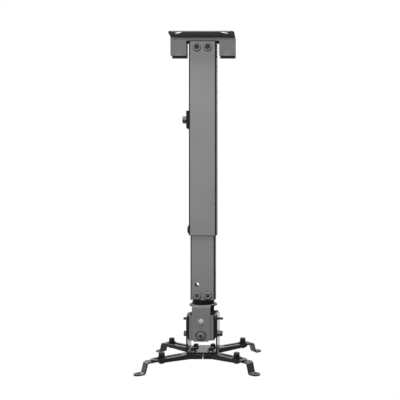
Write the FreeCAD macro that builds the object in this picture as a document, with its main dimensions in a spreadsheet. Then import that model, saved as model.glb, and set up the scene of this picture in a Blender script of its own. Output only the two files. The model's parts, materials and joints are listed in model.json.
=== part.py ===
import FreeCAD, Part
import Sketcher
import math
import os
from FreeCAD import Placement, Rotation, Vector

# Ceiling mount for a projector: a notched ceiling bracket, a two-stage rectangular column,
# a swivelling head that also rolls and pitches, and four sliding feet on two forked arm plates.
# Millimetres. The origin is the middle of the ceiling face, above the column's axis.
# +Z is up, -Y is the front of the mount and +X is its right side.

os.makedirs("parts", exist_ok=True)
doc = FreeCAD.newDocument("CeilingMount")

DIMENSIONS = [
    # ceiling bracket
    ("plate_width", 94.5), ("plate_thick", 1.5), ("lip_front", 26.5), ("lip_corner", 5.0),
    ("plate_hole_at", 37.8), ("plate_hole", 6.5), ("plate_slot_width", 6.5),
    ("plate_slot_near_x", 30.4), ("plate_slot_near_y", 22.4),
    ("plate_slot_far_x", 36.0), ("plate_slot_far_y", 18.9),
    ("saddle_depth", 14.0), ("saddle_thick", 2.0), ("saddle_drop", 29.5),
    ("notch_width", 48.0), ("notch_top", 7.6), ("saddle_bend", 0.8), ("saddle_corner", 1.2),
    ("notch_corner", 1.0),
    ("socket_depth", 9.6), ("socket_side_gap", 1.5), ("socket_drop", 33.0), ("socket_thick", 2.0),
    # telescopic column
    ("tube_width", 40.0), ("tube_depth", 20.0), ("tube_wall", 1.5), ("tube_corner", 2.1),
    ("tube_top", 8.0), ("tube_bottom", 292.0),
    ("column_gap", 0.5), ("inner_wall", 1.5), ("inner_corner", 2.0), ("pad_round", 2.0),
    ("pad_edge", 0.8),
    ("inner_top", 112.0), ("inner_bottom", 386.0),
    ("screw_pitch", 15.5), ("top_screw_level", 18.0), ("low_screw_level", 379.5),
    ("lock_level", 122.0), ("lock_slot_width", 6.6), ("lock_slot_top", 49.5),
    ("lock_slot_bottom", 230.5),
    ("safety_hole", 6.0), ("safety_hole_x", 8.2), ("safety_hole_level", 363.6),
    ("plug_level", 283.4), ("plug_head", 14.2), ("plug_stem", 8.0), ("plug_rise", 3.1),
    ("pad_height", 25.7), ("pad_depth", 14.0), ("pad_thick", 4.2),
    ("nut_plate_height", 8.2), ("nut_plate_depth", 10.0), ("nut_plate_thick", 3.0),
    ("cap_rim", 2.0), ("cap_stem", 5.5), ("cap_wall", 2.0),
    # tilting head
    ("connector_width", 26.0), ("connector_thick", 1.8), ("connector_top", 368.5),
    ("yoke_top", 392.4), ("yoke_depth", 48.0), ("yoke_width", 26.5), ("yoke_thick", 2.0),
    ("yoke_bottom", 443.2), ("yoke_disc", 40.4), ("yoke_bend", 1.2), ("yoke_clip", 3.5),
    ("pivot_level", 414.5), ("roll_slot_radius", 20.0), ("pitch_slot_radius", 21.9),
    ("head_gap", 0.3), ("block_width", 40.4), ("block_top", 406.2), ("block_bottom", 442.0),
    ("block_wall", 2.0), ("block_corner", 3.2), ("block_shoulder", 6.0), ("block_clip", 4.2),
    ("block_ledge", 6.5), ("block_ramp", 1.5),
    ("cradle_depth", 35.0), ("cradle_top", 405.6), ("cradle_arch", 4.0),
    ("bush_width", 8.8), ("bush_height", 6.0), ("spacer_width", 32.0),
    ("rivet_shank", 6.0), ("rivet_head", 8.2), ("rivet_rise", 1.9), ("rivet_flare", 1.2),
    ("roll_washer", 14.0), ("pitch_washer", 10.0), ("pitch_washer_thick", 1.6),
    ("pin_reach", 6.7), ("arc_half", 15.4),
    ("base_level", 459.0), ("base_depth", 43.0), ("base_thick", 2.0), ("base_inset", 0.6),
    ("base_slant", 1.15), ("base_root", 3.4),
    # arms and feet
    ("arm_angle", 36.6), ("arm_width", 16.4), ("arm_flange", 7.0), ("arm_flange_end", 5.2),
    ("arm_sheet", 1.5),
    ("arm_gap", 0.6), ("arm_seam", 2.6), ("arm_head_x", 22.5), ("arm_head_y", 24.5),
    ("arm_pivot_x", 12.6), ("arm_pivot_y", 12.5), ("arm_tip_centre", 57.5),
    ("arm_slot_start", 21.9), ("arm_slot_end", 57.8), ("arm_slot_width", 5.4),
    ("arm_round", 1.3), ("arm_tip_open", 1.5), ("arm_trim_start", 28.0), ("arm_trim_run", 42.0),
    ("foot_width", 13.0), ("foot_thick", 2.0), ("foot_hole", 4.5), ("foot_pad_level", 476.9),
    ("front_screw_at", 49.3), ("front_hole_at", 83.2),
    ("rear_screw_at", 53.2), ("rear_hole_at", 80.4),
    ("foot_slot_near", 25.8), ("foot_slot_far", 35.2), ("foot_riser", 10.7), ("foot_lean", 3.8),
    ("foot_tail_end", 6.4), ("foot_bend", 1.6), ("foot_corner", 3.0),
    # fasteners
    ("large_thread", 6.0), ("middle_thread", 5.0), ("small_thread", 4.0), ("washer_thick", 1.2),
    ("screw_head", 12.5), ("screw_rise", 2.8), ("large_hexagon", 10.0), ("large_clearance", 6.5),
    ("middle_hexagon", 8.0), ("middle_nut", 3.4), ("small_hexagon", 7.0), ("small_nut", 3.2),
    ("pitch_hexagon", 7.2), ("pitch_head", 4.4), ("lock_head", 6.0), ("swivel_head", 4.0),
    ("large_recess", 4.4), ("large_recess_depth", 1.8), ("roll_screw_head", 9.5),
    ("roll_screw_rise", 2.7), ("small_recess", 3.2), ("small_recess_depth", 1.6),
    ("base_screw_head", 7.4), ("base_screw_rise", 3.1), ("base_screw_length", 9.0),
    ("base_washer", 10.4), ("base_washer_thick", 1.0),
    ("foot_screw_head", 8.5), ("foot_screw_rise", 5.0), ("foot_screw_length", 10.8),
    ("foot_recess", 4.0), ("foot_recess_depth", 2.5), ("foot_washer", 13.0),
    ("spring_washer", 9.0), ("spring_washer_thick", 1.3), ("spring_washer_gap", 0.9),
    ("foot_nut_height", 3.9), ("top_screw_length", 7.0), ("low_screw_length", 4.2),
    # fits
    ("fit_radial", 0.02), ("fit_running", 0.05), ("fit_slide", 0.1),
]
SIZE = dict(DIMENSIONS)

# Sizes that follow from the driving ones.
INNER_WIDTH = SIZE["tube_width"] - 2 * (SIZE["tube_wall"] + SIZE["column_gap"])
INNER_DEPTH = SIZE["tube_depth"] - 2 * (SIZE["tube_wall"] + SIZE["column_gap"])
INNER_WIDTH_FROM = "(Dims.tube_width - 2 * (Dims.tube_wall + Dims.column_gap))"
SOCKET_WIDTH = SIZE["tube_width"] - 2 * (SIZE["tube_wall"] + SIZE["socket_side_gap"])
SOCKET_WIDTH_FROM = "Dims.tube_width - 2 * (Dims.tube_wall + Dims.socket_side_gap)"
BLOCK_DEPTH = SIZE["yoke_depth"] - 2 * (SIZE["yoke_thick"] + SIZE["head_gap"])
CRADLE_WIDTH = SIZE["block_width"] + 2 * (SIZE["base_thick"] + SIZE["head_gap"])

sheet = doc.addObject("Spreadsheet::Sheet", "Dims")
for row, (alias, value) in enumerate(DIMENSIONS, start=1):
    sheet.set("A%d" % row, alias)
    sheet.set("B%d" % row, str(value))
    sheet.setAlias("B%d" % row, alias)
doc.recompute()


# Helpers for sketches.

def new_body(label):
    body = doc.addObject("PartDesign::Body", "Body_" + label)
    body.Label = label
    return body


def new_sketch(body, role, offset=0.0, offset_from=None):
    # The sketch lies on one of the body's own origin planes, moved along that plane's normal.
    sketch = body.newObject("Sketcher::SketchObject", "Sketch")
    plane = [item for item in body.Origin.OriginFeatures if item.Role == role][0]
    sketch.AttachmentSupport = [(plane, "")]
    sketch.MapMode = "FlatFace"
    sketch.AttachmentOffset = Placement(Vector(0, 0, offset), Rotation())
    if offset_from:
        sketch.setExpression("AttachmentOffset.Base.z", offset_from)
    return sketch


def flat(point):
    return Vector(point[0], point[1], 0)


def draw(sketch, segments):
    # A segment is a pair of points for a line, or three points for an arc through the middle one.
    for segment in segments:
        if len(segment) == 2:
            sketch.addGeometry(Part.LineSegment(flat(segment[0]), flat(segment[1])))
        else:
            sketch.addGeometry(Part.Arc(flat(segment[0]), flat(segment[1]), flat(segment[2])))


def draw_polygon(sketch, points):
    count = len(points)
    draw(sketch, [(points[i], points[(i + 1) % count]) for i in range(count)])


def draw_rectangle(sketch, centre_x, centre_y, width, height, width_from=None, height_from=None):
    left = centre_x - width / 2
    right = centre_x + width / 2
    low = centre_y - height / 2
    high = centre_y + height / 2
    corners = [(left, low), (right, low), (right, high), (left, high)]
    first = sketch.GeometryCount
    draw_polygon(sketch, corners)
    for i in range(4):
        sketch.addConstraint(Sketcher.Constraint(
            "Coincident", first + i, 2, first + (i + 1) % 4, 1))
    sketch.addConstraint(Sketcher.Constraint("Horizontal", first))
    sketch.addConstraint(Sketcher.Constraint("Horizontal", first + 2))
    sketch.addConstraint(Sketcher.Constraint("Vertical", first + 1))
    sketch.addConstraint(Sketcher.Constraint("Vertical", first + 3))
    if width_from:
        index = sketch.addConstraint(Sketcher.Constraint("DistanceX", first, 1, first, 2, width))
        sketch.setExpression("Constraints[%d]" % index, width_from)
    if height_from:
        index = sketch.addConstraint(Sketcher.Constraint(
            "DistanceY", first + 1, 1, first + 1, 2, height))
        sketch.setExpression("Constraints[%d]" % index, height_from)
    if abs(centre_x) < 1e-9 and abs(centre_y) < 1e-9:
        sketch.addConstraint(Sketcher.Constraint("Symmetric", first, 1, first + 1, 2, -1, 1))


def draw_circle(sketch, x, y, diameter, diameter_from=None):
    index = sketch.addGeometry(Part.Circle(Vector(x, y, 0), Vector(0, 0, 1), diameter / 2))
    if diameter_from:
        bound = sketch.addConstraint(Sketcher.Constraint("Diameter", index, diameter))
        sketch.setExpression("Constraints[%d]" % bound, diameter_from)


def rounded_rectangle(width, height, radius, centre=(0.0, 0.0)):
    cx, cy = centre
    hx = width / 2
    hy = height / 2
    k = radius * (1 - math.sqrt(0.5))
    segments = []
    corners = [(1, -1, -90), (1, 1, 0), (-1, 1, 90), (-1, -1, 180)]
    points = []
    for sx, sy, start in corners:
        ox = cx + sx * (hx - radius)
        oy = cy + sy * (hy - radius)
        a0 = math.radians(start)
        a1 = math.radians(start + 90)
        begin = (ox + radius * math.cos(a0), oy + radius * math.sin(a0))
        middle = (cx + sx * (hx - k), cy + sy * (hy - k))
        end = (ox + radius * math.cos(a1), oy + radius * math.sin(a1))
        points.append((begin, middle, end))
    for i in range(4):
        previous = points[i - 1][2]
        segments.append((previous, points[i][0]))
        segments.append(points[i])
    return segments


def slot_outline(start, end, width):
    # A straight slot with round ends between two centre points.
    length = math.hypot(end[0] - start[0], end[1] - start[1])
    ux = (end[0] - start[0]) / length
    uy = (end[1] - start[1]) / length
    r = width / 2
    a = (start[0] - uy * r, start[1] + ux * r)
    b = (end[0] - uy * r, end[1] + ux * r)
    c = (end[0] + uy * r, end[1] - ux * r)
    d = (start[0] + uy * r, start[1] - ux * r)
    tip = (end[0] + ux * r, end[1] + uy * r)
    tail = (start[0] - ux * r, start[1] - uy * r)
    return [(a, b), (b, tip, c), (c, d), (d, tail, a)]


def arc_slot_outline(centre, radius, start, end, width):
    # A slot that follows a circle from one angle to another, in degrees, with round ends.
    def at(angle, reach):
        turn = math.radians(angle)
        return (centre[0] + reach * math.cos(turn), centre[1] + reach * math.sin(turn))
    half = width / 2
    middle = (start + end) / 2
    sweep = math.degrees(half / radius)
    outer = (at(start, radius + half), at(middle, radius + half), at(end, radius + half))
    inner = (at(end, radius - half), at(middle, radius - half), at(start, radius - half))
    tip = at(end + sweep, radius)
    tail = at(start - sweep, radius)
    return [outer, (outer[2], tip, inner[0]), inner, (inner[2], tail, outer[0])]


def strip_outline(points, thickness, inside_radius):
    # Section of a bent strip: the points are its centre line, and every bend is an arc.
    half = thickness / 2
    bend = inside_radius + half
    count = len(points)
    directions = []
    for i in range(count - 1):
        dx = points[i + 1][0] - points[i][0]
        dy = points[i + 1][1] - points[i][1]
        size = math.hypot(dx, dy)
        directions.append((dx / size, dy / size))

    def side(shift):
        pieces = []
        d0 = directions[0]
        here = (points[0][0] - d0[1] * shift, points[0][1] + d0[0] * shift)
        for i in range(1, count - 1):
            d0 = directions[i - 1]
            d1 = directions[i]
            cross = d0[0] * d1[1] - d0[1] * d1[0]
            dot = d0[0] * d1[0] + d0[1] * d1[1]
            turn = math.atan2(cross, dot)
            sign = 1.0 if turn > 0 else -1.0
            run = bend * math.tan(abs(turn) / 2)
            corner = points[i]
            start = (corner[0] - d0[0] * run, corner[1] - d0[1] * run)
            end = (corner[0] + d1[0] * run, corner[1] + d1[1] * run)
            centre = (start[0] - d0[1] * bend * sign, start[1] + d0[0] * bend * sign)
            ux = corner[0] - centre[0]
            uy = corner[1] - centre[1]
            size = math.hypot(ux, uy)
            reach = bend - sign * shift
            begin = (start[0] - d0[1] * shift, start[1] + d0[0] * shift)
            middle = (centre[0] + ux / size * reach, centre[1] + uy / size * reach)
            finish = (end[0] - d1[1] * shift, end[1] + d1[0] * shift)
            pieces.append((here, begin))
            pieces.append((begin, middle, finish))
            here = finish
        d1 = directions[-1]
        last = (points[-1][0] - d1[1] * shift, points[-1][1] + d1[0] * shift)
        pieces.append((here, last))
        return pieces

    left = side(half)
    right = side(-half)
    outline = list(left)
    outline.append((left[-1][-1], right[-1][-1]))
    outline.extend(tuple(reversed(piece)) for piece in reversed(right))
    outline.append((right[0][0], left[0][0]))
    return outline


# Helpers for features.

def pad(body, sketch, length, length_from=None, both=False, back=False):
    # Back turns the pad against the sketch normal, both grows it to either side of the sketch.
    feature = body.newObject("PartDesign::Pad", "Pad")
    feature.Profile = sketch
    feature.Length = length
    if length_from:
        feature.setExpression("Length", length_from)
    if both:
        feature.SideType = "Symmetric"
    feature.Reversed = back
    doc.recompute()
    return feature


def pocket(body, sketch, length=None, length_from=None, both=False, back=False):
    # Without a length the cut goes right through, both ways.
    before = body.Shape.Volume
    feature = body.newObject("PartDesign::Pocket", "Pocket")
    feature.Profile = sketch
    if length is None:
        feature.Type = "ThroughAll"
        feature.SideType = "Symmetric"
    else:
        feature.Length = length
        if length_from:
            feature.setExpression("Length", length_from)
        if both:
            feature.SideType = "Symmetric"
        feature.Reversed = back
    doc.recompute()
    if body.Shape.Volume > before - 0.01:
        raise RuntimeError("cut removed nothing in " + body.Label)
    return feature


def revolve(body, sketch):
    # A full turn about the sketch's vertical axis.
    feature = body.newObject("PartDesign::Revolution", "Revolution")
    feature.Profile = sketch
    feature.ReferenceAxis = (sketch, ["V_Axis"])
    feature.Angle = 360.0
    doc.recompute()
    return feature


def round_edges(body, radius, wanted, radius_from=None, bevel=False):
    # Rounds or bevels the edges of the last feature for which wanted(edge) is true.
    base = body.Tip
    names = ["Edge%d" % (i + 1) for i, edge in enumerate(base.Shape.Edges) if wanted(edge)]
    if not names:
        raise RuntimeError("no edge to round in " + body.Label)
    if bevel:
        feature = body.newObject("PartDesign::Chamfer", "Chamfer")
        feature.Base = (base, names)
        feature.Size = radius
        if radius_from:
            feature.setExpression("Size", radius_from)
    else:
        feature = body.newObject("PartDesign::Fillet", "Fillet")
        feature.Base = (base, names)
        feature.Radius = radius
        if radius_from:
            feature.setExpression("Radius", radius_from)
    doc.recompute()
    return feature


def all_at(edge, axis, level, slack=1e-4):
    return all(abs(getattr(v.Point, axis) - level) < slack for v in edge.Vertexes)


def runs_along(edge, axis):
    if len(edge.Vertexes) != 2:
        return False
    step = edge.Vertexes[1].Point - edge.Vertexes[0].Point
    return step.Length > 1e-6 and abs(abs(getattr(step, axis)) - step.Length) < 1e-6


def group(label, bodies):
    compound = doc.addObject("Part::Compound", "Group_" + label)
    compound.Label = label
    compound.Links = bodies
    doc.recompute()
    return compound


NODES = []


def keep(item):
    NODES.append(item)
    return item


# Fasteners. Each one is made along +Z and then placed.

def turned(label, outline, hexagon=None, hexagon_depth=0.0, hexagon_level=0.0):
    # A turned piece about Z from its half section, with an optional hexagon recess from above.
    body = new_body(label)
    sketch = new_sketch(body, "XZ_Plane")
    draw(sketch, outline)
    revolve(body, sketch)
    if hexagon:
        recess = new_sketch(body, "XY_Plane", hexagon_level)
        corner = hexagon / math.sqrt(3)
        draw_polygon(recess, [
            (corner * math.cos(math.radians(60 * i)), corner * math.sin(math.radians(60 * i)))
            for i in range(6)])
        pocket(body, recess, hexagon_depth)
    return body


def cap_screw(label, shank, length, head, rise, hexagon, depth):
    # Cylinder head above Z = 0, shank below it.
    r = shank / 2
    h = head / 2
    bevel = 0.08 * head
    tip = 0.12 * shank
    points = [
        (0, -length), (r - tip, -length), (r, -length + tip), (r, 0), (h, 0),
        (h, rise - bevel), (h - bevel, rise), (0, rise)]
    outline = [(points[i], points[(i + 1) % len(points)]) for i in range(len(points))]
    return turned(label, outline, hexagon, depth, rise)


def button_screw(label, shank, length, head, rise, hexagon, depth):
    # Domed head above Z = 0 with a flat crown round the recess.
    r = shank / 2
    h = head / 2
    crown = 0.62 * h
    tip = 0.12 * shank
    middle = ((h + crown) / 2 + 0.09 * head, rise * 0.72)
    outline = [
        ((0, -length), (r - tip, -length)),
        ((r - tip, -length), (r, -length + tip)),
        ((r, -length + tip), (r, 0)),
        ((r, 0), (h, 0)),
        ((h, 0), (h, 0.25 * rise)),
        ((h, 0.25 * rise), middle, (crown, rise)),
        ((crown, rise), (0, rise)),
        ((0, rise), (0, -length))]
    return turned(label, outline, hexagon, depth, rise)


def ring(label, inside, outside, thickness):
    # A flat washer that stands on Z = 0.
    a = inside / 2
    b = outside / 2
    points = [(a, 0), (b, 0), (b, thickness), (a, thickness)]
    outline = [(points[i], points[(i + 1) % 4]) for i in range(4)]
    return turned(label, outline)


def split_ring(label, inside, outside, thickness, gap):
    # A spring washer: a square-section ring with one slanting cut through it.
    body = ring(label, inside, outside, thickness)
    sketch = new_sketch(body, "YZ_Plane")
    lean = thickness * 0.4
    draw_polygon(sketch, [
        (-gap / 2 - lean, -1), (gap / 2 - lean, -1),
        (gap / 2 + lean, thickness + 1), (-gap / 2 + lean, thickness + 1)])
    pocket(body, sketch, outside, back=True)
    return body


def hexagon_piece(label, across, rise, bore=0.0, shank=0.0, length=0.0):
    # A hexagon with flats facing Y, above Z = 0: a nut when bored, a screw when it has a shank.
    body = new_body(label)
    sketch = new_sketch(body, "XY_Plane")
    corner = across / math.sqrt(3)
    draw_polygon(sketch, [
        (corner * math.cos(math.radians(60 * i)), corner * math.sin(math.radians(60 * i)))
        for i in range(6)])
    if bore:
        draw_circle(sketch, 0, 0, bore)
    pad(body, sketch, rise)
    cone = new_sketch(body, "XZ_Plane")
    edge = across / 2 * 0.97
    draw_polygon(cone, [
        (edge, rise + 0.01), (corner + 1, rise + 0.01),
        (corner + 1, rise - (corner + 1 - edge) * 0.55)])
    groove = body.newObject("PartDesign::Groove", "Groove")
    groove.Profile = cone
    groove.ReferenceAxis = (cone, ["V_Axis"])
    groove.Angle = 360.0
    doc.recompute()
    if shank:
        stem = new_sketch(body, "XY_Plane")
        draw_circle(stem, 0, 0, shank)
        pad(body, stem, length, back=True)
        round_edges(body, 0.12 * shank, lambda e: all_at(e, "z", -length), bevel=True)
    return body


def place(body, position, axis_to=None, spin=0.0):
    # Turns the piece's +Z to the given direction, after a spin about its own axis.
    turn = Rotation(Vector(0, 0, 1), spin)
    if axis_to:
        turn = Rotation(Vector(0, 0, 1), Vector(*axis_to)).multiply(turn)
    body.Placement = Placement(Vector(*position), turn)
    return body


FRONT = (0, -1, 0)
REAR = (0, 1, 0)
LEFT = (-1, 0, 0)
RIGHT = (1, 0, 0)


# Ceiling bracket.

def make_ceiling_plate():
    # Flat plate: a lip in front of the saddle and the strip over it, with slanting fixing slots
    # in the lip and round fixing holes over the saddle.
    body = new_body("ceiling_plate")
    sketch = new_sketch(body, "XY_Plane")
    half = SIZE["plate_width"] / 2
    front = -SIZE["lip_front"]
    rear = SIZE["saddle_depth"] / 2
    draw_rectangle(sketch, 0, (front + rear) / 2, 2 * half, rear - front, "Dims.plate_width",
                   "Dims.lip_front + Dims.saddle_depth / 2")
    pad(body, sketch, SIZE["plate_thick"], "Dims.plate_thick", back=True)
    round_edges(body, SIZE["lip_corner"],
                lambda e: runs_along(e, "z") and all_at(e, "y", front, 0.01), "Dims.lip_corner")
    holes = new_sketch(body, "XY_Plane")
    for side in (-1, 1):
        draw(holes, slot_outline((side * SIZE["plate_slot_near_x"], -SIZE["plate_slot_near_y"]),
                                 (side * SIZE["plate_slot_far_x"], -SIZE["plate_slot_far_y"]),
                                 SIZE["plate_slot_width"]))
        draw_circle(holes, side * SIZE["plate_hole_at"], 0, SIZE["plate_hole"],
                    "Dims.plate_hole")
    pocket(body, holes)
    return body


def make_saddle():
    # Inverted channel under the plate; both webs are notched for the column.
    body = new_body("saddle")
    thick = SIZE["saddle_thick"]
    depth = SIZE["saddle_depth"]
    top = -SIZE["plate_thick"]
    low = -SIZE["saddle_drop"]
    section = new_sketch(body, "YZ_Plane")
    reach = depth / 2 - thick / 2
    draw(section, strip_outline(
        [(-reach, low), (-reach, top - thick / 2), (reach, top - thick / 2), (reach, low)],
        thick, SIZE["saddle_bend"]))
    pad(body, section, SIZE["plate_width"], "Dims.plate_width", both=True)
    notch = new_sketch(body, "XZ_Plane")
    high = -SIZE["notch_top"]
    draw_rectangle(notch, 0, (high + low - 4) / 2, SIZE["notch_width"], high - low + 4,
                   "Dims.notch_width")
    pocket(body, notch)
    half = SIZE["notch_width"] / 2
    round_edges(body, SIZE["saddle_corner"],
                lambda e: runs_along(e, "y") and all_at(e, "z", low, 0.01), "Dims.saddle_corner")
    round_edges(body, SIZE["notch_corner"],
                lambda e: runs_along(e, "y") and all_at(e, "z", high, 0.01)
                and abs(abs(e.Vertexes[0].Point.x) - half) < 0.01, "Dims.notch_corner")
    holes = new_sketch(body, "XY_Plane")
    for side in (-1, 1):
        draw_circle(holes, side * SIZE["plate_hole_at"], 0, SIZE["plate_hole"],
                    "Dims.plate_hole")
    pocket(body, holes)
    return body


M6 = SIZE["large_thread"]
M6_BORE = M6 + 2 * SIZE["fit_radial"]
CLEAR_M6 = SIZE["large_clearance"]
SADDLE_ROOF = -SIZE["plate_thick"] - SIZE["saddle_thick"]


def make_socket():
    # U bracket inside the top of the outer column, welded under the saddle's roof.
    body = new_body("socket_bracket")
    thick = SIZE["socket_thick"]
    reach = SIZE["socket_depth"] / 2 - thick / 2
    low = -SIZE["socket_drop"]
    section = new_sketch(body, "YZ_Plane")
    draw(section, strip_outline(
        [(-reach, low), (-reach, SADDLE_ROOF - thick / 2),
         (reach, SADDLE_ROOF - thick / 2), (reach, low)], thick, 1.0))
    pad(body, section, SOCKET_WIDTH, SOCKET_WIDTH_FROM, both=True)
    holes = new_sketch(body, "XZ_Plane")
    for side in (-1, 1):
        draw_circle(holes, side * SIZE["screw_pitch"] / 2, -SIZE["top_screw_level"], M6_BORE)
    pocket(body, holes)
    return body


def make_socket_nuts():
    # Weld nuts that fill the space between the bracket's legs and the column's walls.
    face = SIZE["socket_depth"] / 2
    height = SIZE["tube_depth"] / 2 - SIZE["tube_wall"] - face
    nuts = []
    for way in (FRONT, REAR):
        for side in (-1, 1):
            nut = hexagon_piece("socket_nut_%d" % len(nuts), SIZE["large_hexagon"], height,
                                bore=M6_BORE)
            at = (side * SIZE["screw_pitch"] / 2, way[1] * face, -SIZE["top_screw_level"])
            nuts.append(place(nut, at, way))
    return group("socket_nuts", nuts)


def column_screws(label, face, level, length):
    # Two button screws in the front wall and two in the rear wall.
    screws = []
    for way in (FRONT, REAR):
        for side in (-1, 1):
            screw = button_screw("%s_%d" % (label, len(screws)), M6, length, SIZE["screw_head"],
                                 SIZE["screw_rise"], SIZE["large_recess"],
                                 SIZE["large_recess_depth"])
            screws.append(place(screw, (side * SIZE["screw_pitch"] / 2, way[1] * face, level), way,
                                12 * side))
    return group(label, screws)


# Telescopic column.

def make_tube(label, width, depth, wall, corner, top, bottom):
    # A rectangular tube with rounded corners between two levels.
    body = new_body(label)
    sketch = new_sketch(body, "XY_Plane", -SIZE[bottom], "-Dims." + bottom)
    draw(sketch, rounded_rectangle(width, depth, SIZE[corner]))
    inside = max(SIZE[corner] - SIZE[wall], 0.5)
    draw(sketch, rounded_rectangle(width - 2 * SIZE[wall], depth - 2 * SIZE[wall], inside))
    pad(body, sketch, SIZE[bottom] - SIZE[top], "Dims.%s - Dims.%s" % (bottom, top))
    return body


def make_outer_column():
    # Outer tube with its upper screw holes, the lock slot and the plug hole in the left wall.
    body = make_tube("outer_column", SIZE["tube_width"], SIZE["tube_depth"], "tube_wall",
                     "tube_corner", "tube_top", "tube_bottom")
    holes = new_sketch(body, "XZ_Plane")
    for side in (-1, 1):
        draw_circle(holes, side * SIZE["screw_pitch"] / 2, -SIZE["top_screw_level"], M6 + 0.1)
    pocket(body, holes)
    left = new_sketch(body, "YZ_Plane", -SIZE["tube_width"] / 2, "-Dims.tube_width / 2")
    draw(left, slot_outline((0, -SIZE["lock_slot_bottom"]), (0, -SIZE["lock_slot_top"]),
                            SIZE["lock_slot_width"]))
    draw_circle(left, 0, -SIZE["plug_level"], SIZE["plug_stem"] + 2 * SIZE["fit_radial"])
    pocket(body, left, 2 * SIZE["tube_wall"] + 1, "2 * Dims.tube_wall + 1", both=True)
    return body


def make_inner_column():
    # Inner tube: lock hole in its left wall, a hole through it and the lower screw holes.
    body = make_tube("inner_column", INNER_WIDTH, INNER_DEPTH, "inner_wall", "inner_corner",
                     "inner_top", "inner_bottom")
    holes = new_sketch(body, "XZ_Plane")
    for side in (-1, 1):
        draw_circle(holes, side * SIZE["screw_pitch"] / 2, -SIZE["low_screw_level"], M6 + 0.1)
    draw_circle(holes, -SIZE["safety_hole_x"], -SIZE["safety_hole_level"], SIZE["safety_hole"],
                "Dims.safety_hole")
    pocket(body, holes)
    left = new_sketch(body, "YZ_Plane", -INNER_WIDTH / 2, "-%s / 2" % INNER_WIDTH_FROM)
    draw_circle(left, 0, -SIZE["lock_level"], CLEAR_M6)
    pocket(body, left, 2 * SIZE["inner_wall"] + 1, "2 * Dims.inner_wall + 1", both=True)
    return body


def make_glide_cap():
    # Plastic cap in the top of the inner tube; its rim runs in the outer tube.
    body = new_body("glide_cap")
    cavity_w = SIZE["tube_width"] - 2 * SIZE["tube_wall"]
    cavity_d = SIZE["tube_depth"] - 2 * SIZE["tube_wall"]
    rim = new_sketch(body, "XY_Plane", -SIZE["inner_top"], "-Dims.inner_top")
    gap = 2 * SIZE["fit_slide"]
    draw(rim, rounded_rectangle(cavity_w - gap, cavity_d - gap, 1.6))
    pad(body, rim, SIZE["cap_rim"], "Dims.cap_rim")
    stem = new_sketch(body, "XY_Plane", -SIZE["inner_top"], "-Dims.inner_top")
    inner_w = INNER_WIDTH - 2 * (SIZE["inner_wall"] + SIZE["fit_radial"])
    inner_d = INNER_DEPTH - 2 * (SIZE["inner_wall"] + SIZE["fit_radial"])
    wall = 2 * SIZE["cap_wall"]
    draw(stem, rounded_rectangle(inner_w, inner_d, 0.9))
    draw(stem, rounded_rectangle(inner_w - wall, inner_d - wall, 0.9))
    pad(body, stem, SIZE["cap_stem"], "Dims.cap_stem", back=True)
    return body


def make_guide_plug():
    # Domed plastic plug in the outer tube's left wall; its stem bears on the inner tube.
    face = -SIZE["tube_width"] / 2
    stem = (SIZE["tube_width"] - INNER_WIDTH) / 2 - SIZE["fit_slide"]
    r = SIZE["plug_stem"] / 2
    h = SIZE["plug_head"] / 2
    rise = SIZE["plug_rise"]
    outline = [
        ((0, -stem), (r, -stem)), ((r, -stem), (r, 0)), ((r, 0), (h, 0)), ((h, 0), (h, 0.8)),
        ((h, 0.8), (h * 0.72, rise * 0.86), (h * 0.3, rise)), ((h * 0.3, rise), (0, rise)),
        ((0, rise), (0, -stem))]
    body = turned("guide_plug", outline)
    return place(body, (face, 0, -SIZE["plug_level"]), LEFT)


def make_clamp_pad():
    # Clamping pad outside the outer tube, over the lock slot.
    body = new_body("clamp_pad")
    face = SIZE["tube_width"] / 2 + SIZE["fit_slide"]
    sketch = new_sketch(body, "YZ_Plane", -face, "-Dims.tube_width / 2 - Dims.fit_slide")
    draw_rectangle(sketch, 0, -SIZE["lock_level"], SIZE["pad_depth"], SIZE["pad_height"],
                   "Dims.pad_depth", "Dims.pad_height")
    pad(body, sketch, SIZE["pad_thick"], "Dims.pad_thick", back=True)
    outside = -face - SIZE["pad_thick"]
    round_edges(body, SIZE["pad_round"], lambda e: runs_along(e, "x"), "Dims.pad_round")
    round_edges(body, SIZE["pad_edge"], lambda e: all_at(e, "x", outside, 0.01), "Dims.pad_edge")
    hole = new_sketch(body, "YZ_Plane", outside)
    draw_circle(hole, 0, -SIZE["lock_level"], CLEAR_M6)
    pocket(body, hole)
    return body


def make_lock_bolt():
    outside = SIZE["tube_width"] / 2 + SIZE["fit_slide"] + SIZE["pad_thick"]
    inside = INNER_WIDTH / 2 - SIZE["inner_wall"] - SIZE["nut_plate_thick"] - 1.0
    bolt = hexagon_piece("lock_bolt", SIZE["large_hexagon"], SIZE["lock_head"], shank=M6,
                         length=outside - inside)
    return place(bolt, (-outside, 0, -SIZE["lock_level"]), LEFT, 90)


def make_lock_nut_plate():
    # Threaded plate behind the inner tube's left wall.
    body = new_body("lock_nut_plate")
    face = INNER_WIDTH / 2 - SIZE["inner_wall"]
    sketch = new_sketch(body, "YZ_Plane", -face, "-%s / 2 + Dims.inner_wall" % INNER_WIDTH_FROM)
    draw_rectangle(sketch, 0, -SIZE["lock_level"], SIZE["nut_plate_depth"],
                   SIZE["nut_plate_height"], "Dims.nut_plate_depth", "Dims.nut_plate_height")
    draw_circle(sketch, 0, -SIZE["lock_level"], M6_BORE)
    pad(body, sketch, SIZE["nut_plate_thick"], "Dims.nut_plate_thick")
    return body


# Tilting head.

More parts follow.
